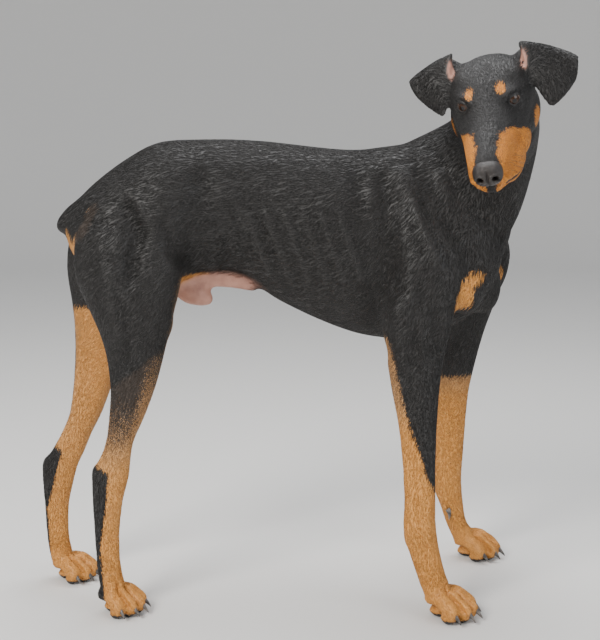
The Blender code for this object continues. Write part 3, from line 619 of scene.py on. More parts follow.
# A line of x and z, its half width, and how far it is raised or sunk
FLANK_STROKES = (
    (((0.138, 0.632), (0.142, 0.551), (0.150, 0.478)), 0.026, -0.0045),
    (((0.112, 0.640), (0.112, 0.570), (0.118, 0.500)), 0.024, 0.0020),
    (((0.165, 0.640), (0.188, 0.580), (0.214, 0.520)), 0.024, 0.0042),
    (((0.192, 0.600), (0.205, 0.560), (0.226, 0.520)), 0.014, -0.0034),
    (((0.215, 0.640), (0.228, 0.590), (0.245, 0.550)), 0.016, 0.0026),
    (((0.158, 0.470), (0.150, 0.440), (0.152, 0.410)), 0.018, 0.0032),
    (((0.186, 0.480), (0.178, 0.430), (0.176, 0.380)), 0.014, -0.0028),
    (((-0.075, 0.610), (-0.055, 0.560), (-0.030, 0.505)), 0.016, 0.0018),
    (((-0.110, 0.605), (-0.105, 0.560), (-0.095, 0.525)), 0.030, -0.0026),
    (((-0.130, 0.505), (-0.160, 0.530), (-0.175, 0.575)), 0.016, -0.0026),
    (((-0.222, 0.600), (-0.205, 0.560), (-0.213, 0.530), (-0.216, 0.505)), 0.017, -0.0040),
    (((-0.180, 0.575), (-0.172, 0.520), (-0.182, 0.460)), 0.026, 0.0028),
    (((-0.262, 0.560), (-0.250, 0.490), (-0.240, 0.420)), 0.022, 0.0030),
    (((-0.238, 0.480), (-0.228, 0.420), (-0.226, 0.370)), 0.012, -0.0024),
    (((-0.250, 0.330), (-0.262, 0.280), (-0.272, 0.235)), 0.008, -0.0026),
    (((-0.262, 0.190), (-0.268, 0.120), (-0.266, 0.065)), 0.007, -0.0022),
    (((0.176, 0.290), (0.180, 0.220), (0.185, 0.150)), 0.010, -0.0030),
    (((0.190, 0.125), (0.203, 0.075)), 0.007, -0.0020),
    (((0.200, 0.160), (0.200, 0.130)), 0.012, 0.0016),
)
RIB_COUNT = 6
RIB_STEP = 0.026


def sculpt_muscles(clay):
    """Grooves and swellings of both flanks, drawn as lines of x and z."""
    for out in (-1, 1):
        between = (-1, 0.02) if out < 0 else (0.0, 1)
        for line, width, height in FLANK_STROKES:
            clay.stroke(FLANK, 1, out, line, width, height, between)
        for k in range(RIB_COUNT):
            x = 0.095 - RIB_STEP * k
            line = ((x - 0.020, 0.585), (x - 0.004, 0.535), (x + 0.012, 0.490))
            clay.stroke(FLANK, 1, out, line, 0.010, 0.0013, between)
    clay.settle()


TOE_GROOVES = ((-0.0130, -9), (0.0, 0), (0.0130, 9))  # y at x = 0 and turn in degrees


def sculpt_paws(clay):
    """Grooves between the toes, knuckles over them and a dip behind each claw."""
    for name in PAWS:
        place = paw_frame(name)
        local = seen_from(place, clay.points) / place.median_scale ** 2
        near = (np.abs(local[:, 0]) < 0.05) & (np.abs(local[:, 1]) < 0.04) & (local[:, 2] < 0.05)
        spots = np.flatnonzero(near)
        x, y, z = local[spots].T
        reach = ease(-0.012, 0.010, x) * ease(0.0, 0.006, z)
        lift = np.zeros(len(spots))
        for start, turn in TOE_GROOVES:
            aside = y - start - x * math.tan(math.radians(turn))
            lift -= 0.0052 * np.exp(-(aside / 0.0024) ** 2)
        for shift, start, turn in TOES:
            aside = y - start - (x - shift) * math.tan(math.radians(turn))
            knuckle = np.exp(-((x - shift - 0.006) / 0.007) ** 2 - (aside / 0.0055) ** 2)
            hollow = np.exp(-((x - shift - 0.0195) / 0.004) ** 2 - (aside / 0.004) ** 2)
            lift += 0.0030 * knuckle - 0.0016 * hollow
        facing = clay.normals[spots]
        clay.points[spots] += facing * (lift * reach * ease(-0.5, 0.2, facing[:, 2]))[:, None]
    clay.settle()


def sculpt_head(clay):
    """The groove between the lips, the fuller upper lip and the lids."""
    for side in (1, -1):
        clay.stroke(HEAD, 1, side, MOUTH_LINE, 0.0034, -0.0024, (-0.2, 0.2))
        lip = tuple((x, z + 0.0040) for x, z in MOUTH_LINE)
        clay.stroke(HEAD, 1, side, lip, 0.0040, 0.0007, (-0.2, 0.2))
    clay.settle()
    for side in (1, -1):
        clay.lids(side)
    clay.settle()


# The skin

NOT_FLESH = ("eye", "claw", "dewclaw", "nose")
GROWTH = 0.00045  # closes the gaps between the solids
EVEN_PASSES = 50
EYE_FINE = 0.024  # facets nearer to an eye than this are divided once
EYE_FINEST = 0.019  # and nearer than this once more
FOOT_FINE = 0.046
COAT_DEPTH = 0.0010  # on the body
HEAD_SHORTER = 0.0005
PAW_SHORTER = 0.0003


def flesh_names():
    """The solids that the skin stands for: all but the eyes, the claws and the nose."""
    return [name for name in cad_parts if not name.startswith(NOT_FLESH)]


def solid_copy(form, name, growth):
    """Adds a solid to a bmesh, with its doubled points merged, and grown a little."""
    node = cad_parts[name]
    piece = bmesh.new()
    piece.from_mesh(node.data)
    piece.transform(node.matrix_world)
    bmesh.ops.remove_doubles(piece, verts=piece.verts, dist=1e-6)
    piece.normal_update()
    for vert in piece.verts:
        vert.co += vert.normal * growth
    mesh = mesh_of(piece, "copy")
    form.from_mesh(mesh)
    bpy.data.meshes.remove(mesh)


def fused_flesh(facet):
    """All the flesh as one closed mesh of even facets, with the sockets of the eyes filled."""
    form = bmesh.new()
    for name in flesh_names():
        solid_copy(form, name, GROWTH)
    for side in (1, -1):
        ball = gaze_frame(side)
        bmesh.ops.create_icosphere(form, subdivisions=4, radius=EYE_RADIUS + 0.0004, matrix=ball)
    return modified(mesh_of(form, "flesh"), "REMESH", mode="VOXEL", voxel_size=facet)


def largest_surface(mesh):
    """Keeps only the outer surface of a mesh."""
    form = bmesh.new()
    form.from_mesh(mesh)
    left = set(form.verts)
    groups = []
    while left:
        group = set()
        edge = [left.pop()]
        while edge:
            vert = edge.pop()
            group.add(vert)
            for link in vert.link_edges:
                other = link.other_vert(vert)
                if other in left:
                    left.remove(other)
                    edge.append(other)
        groups.append(group)
    groups.sort(key=len)
    loose = [vert for group in groups[:-1] for vert in group]
    bmesh.ops.delete(form, geom=loose, context="VERTS")
    form.to_mesh(mesh)
    form.free()


def evened(mesh):
    """Takes the solids' facets out without drawing the surface in."""
    start = coordinates(mesh)
    ends = edge_ends(mesh)
    weight = 0.6 - 0.45 * head_share(start)
    weight *= 1 - 0.75 * np.maximum(ear_share(start), paw_share(start))
    smooth = spread(start, ends, EVEN_PASSES, weight)
    move_to(mesh, smooth)
    out = normals(mesh)
    lost = ((start - smooth) * out).sum(1, keepdims=True)
    lost = spread(lost, ends, EVEN_PASSES, weight)
    move_to(mesh, smooth + out * lost)


def divided(mesh, share):
    """Cuts the faces whose points all pass share into four."""
    form = bmesh.new()
    form.from_mesh(mesh)
    form.verts.ensure_lookup_table()
    chosen = [edge for edge in form.edges if share[edge.verts[0].index] and share[edge.verts[1].index]]
    bmesh.ops.subdivide_edges(form, edges=chosen, cuts=1, use_grid_fill=True)
    bmesh.ops.triangulate(form, faces=form.faces)
    form.to_mesh(mesh)
    form.free()


def near_eyes(points, reach):
    """Which points lie within reach of the middle of an eye."""
    left, right = (np.array(gaze_frame(side).translation) for side in (1, -1))
    nearest = np.minimum(np.linalg.norm(points - left, axis=1), np.linalg.norm(points - right, axis=1))
    return nearest < reach


def muzzle_box(points):
    """Which points lie on the muzzle."""
    q = seen_from(HEAD, points)
    ahead = (q[:, 0] > 0.005) & (q[:, 0] < 0.14)
    return ahead & (np.abs(q[:, 1]) < 0.06) & (q[:, 2] < 0.0) & (q[:, 2] > -0.09)


def coat_depth(points, facing):
    """How far the coat stands over the skin."""
    depth = COAT_DEPTH - HEAD_SHORTER * head_share(points) - PAW_SHORTER * paw_share(points)
    return depth * (1 - bare_skin(points, facing))


def skin_mesh(settings):
    """The dog's skin, a coat's depth inside the solids."""
    mesh = fused_flesh(settings.facet)
    largest_surface(mesh)
    evened(mesh)
    points = coordinates(mesh)
    divided(mesh, near_eyes(points, EYE_FINE) | muzzle_box(points) | (points[:, 2] < FOOT_FINE))
    divided(mesh, near_eyes(coordinates(mesh), EYE_FINEST))
    clay = Clay(mesh)
    sculpt_muscles(clay)
    inward = GROWTH + coat_depth(clay.points, clay.normals)
    clay.points -= clay.normals * inward[:, None]
    clay.settle()
    sculpt_paws(clay)
    sculpt_head(clay)
    clay.points[:, 2] = np.maximum(clay.points[:, 2], 0.0)
    clay.settle()
    return lightened(mesh, settings.triangles)


def lightened(mesh, triangles):
    """Fewer facets, mostly where the surface is nearly flat."""
    mesh.calc_loop_triangles()
    ratio = triangles / len(mesh.loop_triangles)
    return modified(mesh, "DECIMATE", ratio=ratio) if ratio < 1 else mesh


def unwrapped(mesh):
    """Gives the mesh a map named OFBake that lays its whole surface out flat."""
    mesh.uv_layers.new(name="OFBake")
    holder = linked("holder", mesh)
    bpy.context.view_layer.objects.active = holder
    holder.select_set(True)
    bpy.ops.object.mode_set(mode="EDIT")
    bpy.ops.mesh.select_all(action="SELECT")
    bpy.ops.uv.smart_project(angle_limit=math.radians(66), island_margin=0.002)
    bpy.ops.object.mode_set(mode="OBJECT")
    bpy.data.objects.remove(holder)


def marks_at(points, facing, stray=0.0):
    """The numbers that the coat's material reads, which the skin and the tufts share."""
    return {
        "mark": coat_marks(points + stray) * 100,
        "soot": soot(points),
        "bare": bare_skin(points, facing),
        "pink": pink_skin(points),
        "head": head_share(points),
    }


# Pairs of a darker and a lighter colour, which noise mixes
BLACK = ((0.0050, 0.0045, 0.0045), (0.024, 0.0215, 0.0200))
BODY_RUST = ((0.48, 0.195, 0.038), (0.74, 0.350, 0.075))
FACE_RUST = ((0.42, 0.128, 0.011), (0.78, 0.318, 0.030))
PINK = ((0.28, 0.120, 0.085), (0.54, 0.290, 0.215))
DULL_RUST = (0.34, 0.225, 0.130)  # where black hair is mixed in
SOOTY_HAIR = (0.030, 0.020, 0.014)
BARE_SKIN = (0.010, 0.0085, 0.0080)


def coat_material(name, depth):
    """Short fur: near black, or rust where the marks are, and bare skin at the lips and pads."""
    shader = Shader(name)
    edge = shader.attribute("mark") + (shader.noise(420, 2) - 0.5) * 0.5
    rust_share = shader.step(-0.12, 0.12, edge)
    soot_share = shader.step(0.45, 0.55, shader.noise(900, 2) - 0.5 + shader.attribute("soot"))
    fine = shader.noise(700, 3)
    black = shader.mix(shader.step(0.35, 0.75, fine), *BLACK)
    rust_body = shader.mix(shader.step(0.3, 0.75, fine), *BODY_RUST)
    rust_body = shader.mix(shader.attribute("soot") * 1.1, rust_body, DULL_RUST)
    rust_face = shader.mix(shader.step(0.3, 0.75, fine), *FACE_RUST)
    rust = shader.mix(shader.attribute("head"), rust_body, rust_face)
    rust = shader.mix(soot_share, rust, SOOTY_HAIR)
    fur = shader.mix(rust_share, black, rust)
    pale = shader.mix(shader.noise(90, 4), *PINK)
    fur = shader.mix(shader.attribute("pink"), fur, pale)
    colour = shader.mix(shader.attribute("bare"), fur, BARE_SKIN)
    height = fine + shader.noise(260, 3) * 0.6
    return shader.finish(
        Base_Color=colour,
        Roughness=0.54,
        Normal=shader.bump(height, depth, 0.6),
    )


def make_skin(settings):
    """Adds the skin, which stands for all the flesh."""
    mesh = skin_mesh(settings)
    mesh.name = "skin"
    unwrapped(mesh)
    for name, values in marks_at(coordinates(mesh), normals(mesh)).items():
        give(mesh, name, values)
    finished("skin", mesh, coat_material("short coat", 0.0006), flesh_names())


# The lie of the coat

# A place in the dog's frame, how far its pull reaches, and the way the hair lies there
BODY_COMBS = (
    ((0.00, 0.03, 0.55), 0.14, (-1.0, 0.0, -0.30)),
    ((-0.10, 0.03, 0.56), 0.12, (-1.0, 0.0, -0.22)),
    ((-0.22, 0.02, 0.64), 0.09, (-0.95, 0.0, -0.35)),
    ((0.13, 0.04, 0.66), 0.07, (-1.0, 0.2, -0.20)),
    ((0.23, -0.06, 0.68), 0.07, (-0.45, 0.45, -0.75)),
    ((0.29, -0.05, 0.64), 0.05, (0.10, 0.30, -0.95)),
    ((0.29, 0.00, 0.52), 0.07, (0.0, 0.0, -1.0)),
    ((0.18, -0.05, 0.57), 0.07, (-0.45, 0.0, -0.90)),
    ((0.22, 0.09, 0.57), 0.07, (-0.45, 0.0, -0.90)),
    ((0.16, -0.05, 0.45), 0.06, (-0.65, 0.0, -0.75)),
    ((0.23, 0.10, 0.45), 0.06, (-0.65, 0.0, -0.75)),
    ((-0.25, -0.04, 0.50), 0.07, (-0.50, 0.0, -0.85)),
    ((-0.27, 0.08, 0.50), 0.07, (-0.50, 0.0, -0.85)),
    ((-0.30, 0.02, 0.58), 0.05, (-0.45, 0.0, -0.90)),
    ((0.18, -0.05, 0.30), 0.09, (-0.12, 0.0, -1.0)),
    ((0.26, 0.16, 0.30), 0.09, (-0.12, 0.05, -1.0)),
    ((0.19, -0.05, 0.12), 0.07, (0.10, 0.0, -1.0)),
    ((0.26, 0.19, 0.12), 0.07, (0.10, 0.0, -1.0)),
    ((-0.23, -0.03, 0.34), 0.07, (-0.35, 0.0, -0.95)),
    ((-0.30, 0.08, 0.34), 0.07, (-0.35, 0.0, -0.95)),
    ((-0.26, -0.03, 0.13), 0.07, (0.05, 0.0, -1.0)),
    ((-0.36, 0.10, 0.13), 0.07, (0.05, 0.0, -1.0)),
    ((0.24, -0.06, 0.02), 0.035, (0.80, -0.55, -0.45)),
    ((0.31, 0.20, 0.02), 0.035, (0.82, -0.50, -0.45)),
    ((-0.24, -0.04, 0.02), 0.035, (0.80, -0.53, -0.45)),
    ((-0.34, 0.10, 0.02), 0.035, (0.85, -0.43, -0.45)),
    ((-0.33, 0.02, 0.59), 0.02, (-0.90, 0.0, -0.55)),
)
# The same in the head frame, on the left; the right mirrors it
HEAD_COMBS = (
    ((0.11, 0.0, -0.03), 0.04, (-1.0, 0.30, -0.30)),
    ((0.05, 0.02, -0.02), 0.04, (-1.0, 0.15, -0.20)),
    ((0.00, 0.02, 0.01), 0.03, (-1.0, 0.10, 0.20)),
    ((-0.05, 0.02, 0.03), 0.04, (-1.0, 0.10, 0.10)),
    ((-0.03, 0.05, -0.04), 0.04, (-0.85, 0.0, -0.60)),
    ((0.06, 0.03, -0.07), 0.04, (-1.0, 0.0, -0.20)),
    ((-0.07, 0.05, 0.025), 0.016, (-0.30, 0.95, 0.10)),
    ((-0.05, 0.09, 0.015), 0.022, (0.35, 0.30, -0.90)),
    ((-0.03, 0.08, -0.015), 0.022, (0.40, -0.10, -0.90)),
)


def combed(points, combs):
    """The mean of the combs' directions, the nearest ones pulling hardest."""
    total = np.zeros((len(points), 3))
    for centre, reach, way in combs:
        away = np.linalg.norm(points - np.array(centre), axis=1) / reach
        total += np.exp(-away ** 2 * 0.5)[:, None] * np.array(way) / np.linalg.norm(way) + 1e-9
    return unit(total)


def lie_of_hair(points):
    """The way that the hair lies at each point, before it is laid flat on the skin."""
    body = combed(points, BODY_COMBS)
    local = seen_from(HEAD, points)
    sign = np.where(local[:, 1] < 0, -1.0, 1.0)
    local[:, 1] *= sign
    head = combed(local, HEAD_COMBS)
    head[:, 1] *= sign * ease(0.0, 0.018, local[:, 1])
    share = head_share(points)[:, None]
    return unit(body * (1 - share) + turned_to(HEAD, head) * share)


# The coat

BODY_TUFT = (0.0122, 0.00145, 0.00298)  # length, width and spacing
HEAD_TUFT = (0.0062, 0.00090, 0.00188)
PAW_TUFT = (0.0048, 0.00088, 0.00206)
LEG_TUFT = (0.0085, 0.00118, 0.00258)
MARK_STRAY = 0.0011  # roughens the edges of the marks
TUFT_RISE = (-0.0003, 0.00035, 0.00065)  # of the root, the middle and the tip over the skin
TUFTS_IN_PIECE = 19500
BAKE_PATCH = 0.003  # side of a tuft's place on the skin's map
CROWDING = 2.2  # more points are drawn than fit, and each cell keeps one
CELL_SHARE = 0.92  # of the spacing
CELL_PRIMES = (73856093, 19349663, 83492791, 2654435761)  # mix a cell's numbers into one
MIDDLE_SHARE = 0.45  # of a tuft's length that lies behind its middle


def tuft_size(points):
    """Length, width and spacing of the tufts at each point, smallest on the face and the feet."""
    head = head_share(points)[:, None]
    face = ease(0.02, 0.07, seen_from(HEAD, points)[:, 0])[:, None] * head
    paw = paw_share(points)[:, None]
    leg = ease(0.43, 0.36, points[:, 2])[:, None] * (1 - paw)
    size = np.array(BODY_TUFT) * (1 - leg) + np.array(LEG_TUFT) * leg
    size = size * (1 - paw) + np.array(PAW_TUFT) * paw
    size = size * (1 - head) + np.array(HEAD_TUFT) * head
    return size * (1 - face * np.array((0.35, 0.2, 0.15)))


def scattered(mesh, draw):
    """Points spread over the mesh by the spacing of the tufts, with their normals and map places."""
    mesh.calc_loop_triangles()
    corners = read(mesh.loop_triangles, "vertices", 3, np.int32)
    loops = read(mesh.loop_triangles, "loops", 3, np.int32)
    points = coordinates(mesh)[corners]
    facing = normals(mesh)[corners]
    places = read(mesh.uv_layers["OFBake"].data, "uv", 2)[loops]
    area = np.linalg.norm(np.cross(points[:, 1] - points[:, 0], points[:, 2] - points[:, 0]), axis=1) / 2
    spacing = tuft_size(points.mean(1))[:, 2]
    wanted = area / spacing ** 2 * CROWDING
    chosen = np.repeat(np.arange(len(corners)), draw.poisson(wanted))
    draw.shuffle(chosen)
    share = draw.dirichlet((1, 1, 1), len(chosen))[:, :, None]
    spots = (points[chosen] * share).sum(1)
    cells = np.floor(spots / spacing[chosen][:, None] / CELL_SHARE).astype(np.int64)
    keys = np.round(spacing[chosen] * 1e5).astype(np.int64) * CELL_PRIMES[3]
    for axis in range(3):
        keys ^= cells[:, axis] * CELL_PRIMES[axis]
    first = np.unique(keys, return_index=True)[1]
    chosen, share = chosen[first], share[first]
    return spots[first], unit((facing[chosen] * share).sum(1)), (places[chosen] * share).sum(1)


def laid(skin, points, rise):
    """Each point moved to its place over the skin, with the skin's normal there."""
    spots = np.empty_like(points)
    facing = np.empty_like(points)
    for k, point in enumerate(points):
        spot, normal, _, _ = skin.find_nearest(point)
        spots[k] = spot
        facing[k] = normal
    return spots + facing * rise, facing


def tuft_forms(skin_mesh_ready, settings, draw):
    """The seven corners of every tuft, its root, and its place on the skin's map."""
    roots, facing, places = scattered(skin_mesh_ready, draw)
    bald = np.maximum(bare_skin(roots, facing), pink_skin(roots) * 1.2)
    keep = bald < draw.uniform(0.35, 0.75, len(roots))
    roots, facing, places = roots[keep], facing[keep], places[keep]
    skin = surface_tree(skin_mesh_ready)
    size = tuft_size(roots)
    length = size[:, 0:1] * settings.length * draw.uniform(0.75, 1.2, (len(roots), 1))
    width = size[:, 1:2] * settings.width * draw.uniform(0.75, 1.25, (len(roots), 1))
    way = lie_of_hair(roots)
    across = unit(np.cross(facing, way))
    veer = 0.20 * ripple(roots, 0.05, 5) + 0.10 * ripple(roots, 0.012, 6)
    veer = veer + draw.normal(0, 0.07, len(roots))
    way = unit(np.cross(across, facing) + across * veer[:, None])
    middle, middle_facing = laid(skin, roots + way * length * MIDDLE_SHARE, TUFT_RISE[1])
    onward = unit(middle - roots)
    tip, _ = laid(skin, middle + onward * length * (1 - MIDDLE_SHARE), TUFT_RISE[2])
    lift = draw.uniform(0.7, 1.3, (len(roots), 1))
    root = roots + facing * TUFT_RISE[0]
    across = unit(np.cross(facing, way)) * width
    middle_across = unit(np.cross(middle_facing, onward)) * width
    ridge = settings.ridge * lift
    forms = np.stack(
        [
            root - across * 0.30,
            root + across * 0.30,
            root + facing * ridge,
            middle - middle_across * 0.5 - middle_facing * ridge * 0.8,
            middle + middle_across * 0.5 - middle_facing * ridge * 0.8,
            middle + middle_facing * ridge,
            tip,
        ],
        1,
    )
    return forms, roots, facing, places


# Corners 0, 1 and 2 are at the root, 3, 4 and 5 at the middle and 6 is the tip
TUFT_FACES = (
    (0, 2, 1), (0, 1, 4), (0, 4, 3), (1, 2, 5), (1, 5, 4), (2, 0, 3), (2, 3, 5),
    (3, 4, 6), (4, 5, 6), (5, 3, 6),
)


TUFT_CORNERS = 7
# Places of the corners on a tuft's patch of the map
TUFT_PATCH = ((0, 0), (1, 0), (0.5, 0.1), (0, 0.5), (1, 0.5), (0.5, 0.6), (0.5, 1))


def tufts_mesh(name, forms, marks, places):
    """One mesh of many tufts. marks maps a name to one number a tuft."""
    count = len(forms)
    mesh = bpy.data.meshes.new(name)
    faces = (np.array(TUFT_FACES)[None] + np.arange(count)[:, None, None] * TUFT_CORNERS).reshape(-1, 3)
    mesh.vertices.add(count * TUFT_CORNERS)
    mesh.vertices.foreach_set("co", forms.astype(np.float32).ravel())
    mesh.loops.add(len(faces) * 3)
    mesh.loops.foreach_set("vertex_index", faces.astype(np.int32).ravel())
    mesh.polygons.add(len(faces))
    mesh.polygons.foreach_set("loop_start", np.arange(len(faces), dtype=np.int32) * 3)
    mesh.update(calc_edges=True)
    layer = mesh.uv_layers.new(name="OFBake")
    corner = np.array(TUFT_PATCH) - 0.5
    patch = places[:, None, :] + corner[None] * BAKE_PATCH
    layer.data.foreach_set("uv", patch.reshape(-1, 2)[faces.ravel()].astype(np.float32).ravel())
    for key, values in marks.items():
        give(mesh, key, np.repeat(values, TUFT_CORNERS))
    mesh.validate()
    return mesh


def coat_regions(points):
    """A number for the region of the coat that each tuft belongs to."""
    head = head_share(points) > 0.5
    hind = points[:, 0] < -0.155
    leg = points[:, 2] < 0.42
    left = points[:, 1] > np.where(hind, 0.030, 0.045)
    return np.where(head, 0, 1 + hind * 4 + leg * 2 + left)


REGION_NAMES = (
    "coat_head", "coat_front_right", "coat_front_left", "coat_foreleg_right", "coat_foreleg_left",
    "coat_rear_right", "coat_rear_left", "coat_hind_leg_right", "coat_hind_leg_left",
)


def make_coat(settings, skin_mesh_ready):
    """Adds the coat, in pieces by region."""
    draw = np.random.default_rng(settings.seed)
    forms, roots, facing, places = tuft_forms(skin_mesh_ready, settings, draw)
    marks = marks_at(roots, facing, draw.normal(0, MARK_STRAY, (len(roots), 3)))
    material = coat_material("coat tufts", 0.0002)
    region = coat_regions(roots)
    for number, name in enumerate(REGION_NAMES):
        spots = np.flatnonzero(region == number)
        parts = math.ceil(len(spots) / TUFTS_IN_PIECE)
        for part, some in enumerate(np.array_split(spots, max(parts, 1))):
            title = f"{name}_{part + 1}"
            own = {key: value[some] for key, value in marks.items()}
            finished(title, tufts_mesh(title, forms[some], own, places[some]), material)


# The eyes

GAZE_SCALE = 40  # of the map, a metre


def eye_mesh(side):
    """An eyeball, with the place of each point across the gaze stored in a map."""
    form = bmesh.new()
    bmesh.ops.create_uvsphere(form, u_segments=64, v_segments=48, radius=EYE_RADIUS)
    layer = form.loops.layers.uv.new("gaze")
    matrix = Matrix.Rotation(math.radians(90), 4, "Y")
    bmesh.ops.transform(form, matrix=matrix, verts=form.verts)
    for face in form.faces:
        for loop in face.loops:
            spot = loop.vert.co
            away = math.hypot(spot.y, spot.z) if spot.x > 0 else EYE_RADIUS
            turn = math.atan2(spot.z, spot.y)
            away *= GAZE_SCALE
            loop[layer].uv = (0.5 + away * math.cos(turn), 0.5 + away * math.sin(turn))
    bmesh.ops.transform(form, matrix=gaze_frame(side), verts=form.verts)
    return mesh_of(form, f"eye {side}")


def eye_material(settings):
    """Dark brown iris, black pupil and a wet clear surface."""
    shader = Shader("eye")
    place = shader.node("ShaderNodeUVMap", {}, uv_map="gaze")
    centred = shader.node("ShaderNodeVectorMath", {0: place, 1: (0.5, 0.5, 0.0)}, operation="SUBTRACT")
    away = shader.node("ShaderNodeVectorMath", {0: centred}, out=1, operation="LENGTH")
    streaks = shader.noise(30, 4, place)
    iris_edge = settings.iris * GAZE_SCALE
    pupil_edge = settings.pupil * GAZE_SCALE
    iris = shader.mix(streaks, (0.007, 0.0028, 0.0014), tuple(settings.colour))
    rim = shader.step(iris_edge * 0.80, iris_edge, away)
    iris = shader.mix(rim, iris, (0.006, 0.004, 0.003))
    pupil = shader.step(pupil_edge, pupil_edge * 1.15, away)
    colour = shader.mix(pupil, (0.002, 0.002, 0.002), iris)
    white = shader.step(iris_edge * 1.02, iris_edge * 1.12, away)
    colour = shader.mix(white, colour, (0.20, 0.13, 0.10))
    shader.principled.inputs["Specular IOR Level"].default_value = 0.25
    return shader.finish(Base_Color=colour, Roughness=0.05, Coat_Weight=0.35)


def make_eyes(settings):
    """Adds the two eyeballs."""
    material = eye_material(settings)
    for side, name in ((1, "left"), (-1, "right")):
        finished(f"eyeball_{name}", eye_mesh(side), material, [f"eye_{name}"])


# The nose

NOSE_SQUARENESS = 2.5  # 2 is an ellipsoid
NOSTRIL_AT = (0.0098, -0.0030)  # to the side and up from the middle of the nose
NOSTRIL_RADII = (0.0048, 0.0040)
NOSTRIL_SLIT = ((0.0115, -0.0042), (0.0165, -0.0075), (0.0200, -0.0080))
SLIT_DEPTH = 0.0035
WING_HEIGHT = 0.0012


def nose_mesh(settings):
    """The nose leather, with its two nostrils, their slits and the groove between them."""
    form = bmesh.new()
    bmesh.ops.create_icosphere(form, subdivisions=6, radius=1.0)
    mesh = mesh_of(form, "nose")
    ball = coordinates(mesh)
    ball /= (np.abs(ball) ** NOSE_SQUARENESS).sum(1)[:, None] ** (1 / NOSE_SQUARENESS)
    local = ball * NOSE_RADII
    front = ease(-0.2, 0.5, ball[:, 0])
    aside = np.abs(local[:, 1])
    pit = np.linalg.norm((np.stack([aside, local[:, 2]], 1) - NOSTRIL_AT) / NOSTRIL_RADII, axis=1)
    depth = settings.nostril * (1 - ease(0.25, 1.0, pit))
    slit = line_distance(np.stack([aside, local[:, 2]], 1), NOSTRIL_SLIT)
    depth += SLIT_DEPTH * (1 - ease(0.0003, 0.0020, slit)) * ease(0.004, 0.008, aside)
    groove = settings.groove * (1 - ease(0.0002, 0.0018, aside)) * ease(0.010, 0.004, local[:, 2])
    wing = WING_HEIGHT * np.exp(-((pit - 1.45) / 0.35) ** 2)
    local[:, 0] += (wing - depth - groove) * front
    local[:, 1] -= np.sign(local[:, 1]) * depth * 0.35 * front
    move_to(mesh, turned_to(HEAD, local + NOSE_CENTRE) + np.array(HEAD.translation))
    return mesh


def leather_material():
    """Black leather with fine cells."""
    shader = Shader("nose leather")
    cells = shader.node("ShaderNodeTexVoronoi", {"Vector": shader.place(), "Scale": 1100.0})
    colour = shader.mix(shader.noise(260), (0.0070, 0.0055, 0.0050), (0.030, 0.023, 0.020))
    return shader.finish(Base_Color=colour, Roughness=0.34, Normal=shader.bump(cells, 0.0004, 0.9))


def make_nose(settings):
    """Adds the nose leather."""
    finished("nose_leather", nose_mesh(settings), leather_material(), ["nose"])


# The whiskers

WHISKER_ROWS = ((-0.038, 4), (-0.046, 4), (-0.054, 3))  # height in the head frame, and how many
WHISKER_RADIUS = 0.00022
WHISKER_JOINTS = 8
WHISKER_COLOUR = (0.03, 0.026, 0.024)


def add_whisker(form, root, way, length, droop):
    """A thin hair that tapers and droops from its root."""
    across = way.cross(Vector((0, 0, 1))).normalized()
    up = across.cross(way)
    loops = []
    for k in range(WHISKER_JOINTS):
        t = k / (WHISKER_JOINTS - 1)
        middle = root + way * length * t - Vector((0, 0, droop * length * t * t))
        size = WHISKER_RADIUS * (1 - 0.85 * t)
        turns = (0, math.tau / 3, math.tau * 2 / 3)
        ring = [middle + (across * math.cos(turn) + up * math.sin(turn)) * size for turn in turns]
        loops.append([form.verts.new(spot) for spot in ring])
    for low, high in zip(loops, loops[1:]):
        for k in range(3):
            form.faces.new((low[k], low[(k + 1) % 3], high[(k + 1) % 3], high[k]))
    form.faces.new(loops[0][::-1])
    form.faces.new(loops[-1])


def make_whiskers(settings, skin_mesh_ready):
    """Adds the whiskers, in rows on both sides of the muzzle."""
    draw = np.random.default_rng(settings.seed)
    skin = surface_tree(skin_mesh_ready)
    turn = HEAD.to_3x3()
    form = bmesh.new()
    for side in (1, -1):
        for height, count in WHISKER_ROWS:
            for k in range(count):
                x = 0.070 + 0.009 * k + draw.uniform(-0.002, 0.002)
                start = HEAD @ Vector((x, 0.08 * side, height + draw.uniform(-0.002, 0.002)))
                spot = skin.ray_cast(start, turn @ Vector((0, -side, 0)))[0]
                if spot is None:
                    raise RuntimeError("a whisker has no place on the muzzle")
                way = Vector((0.25 + draw.uniform(-0.15, 0.15), side, draw.uniform(-0.35, 0.05))).normalized()
                root = spot - turn @ way * 0.001
                add_whisker(form, root, turn @ way, settings.length * draw.uniform(0.7, 1.1), settings.droop)
    bmesh.ops.recalc_face_normals(form, faces=form.faces)
    material = Shader("whisker").finish(Base_Color=WHISKER_COLOUR, Roughness=0.4)
    finished("whiskers", mesh_of(form, "whiskers"), material)


# The claws

# Places of the paws: where the middle of a sole stands, its turn in degrees and its scale
PAWS = {
    "front_right": ((0.2396, -0.0553), -36, 1.05),
    "front_left": ((0.3146, 0.2047), -30, 1.05),
    "hind_right": ((-0.2434, -0.0353), -34, 0.97),
    "hind_left": ((-0.3374, 0.1027), -26, 0.96),
}
# Toes in the frame of a paw: x, y and turn in degrees
TOES = ((-0.011, -0.0190, -14), (0.0, -0.0070, -4), (0.0, 0.0070, 4), (-0.011, 0.0190, 14))
DEWCLAWS = (((0.1946, -0.0343, 0.098), 20), ((0.2626, 0.1817, 0.088), -30))
CLAW_ROOT = (0.0235, 0, 0.0180)  # from the toe's place
CLAW_BEND = 0.62  # drop of the tip, as a share of the length
CLAW_FLATNESS = 0.70
DEWCLAW_SIZE = 0.8
CLAW_RINGS = 14
CLAW_SIDES = 18


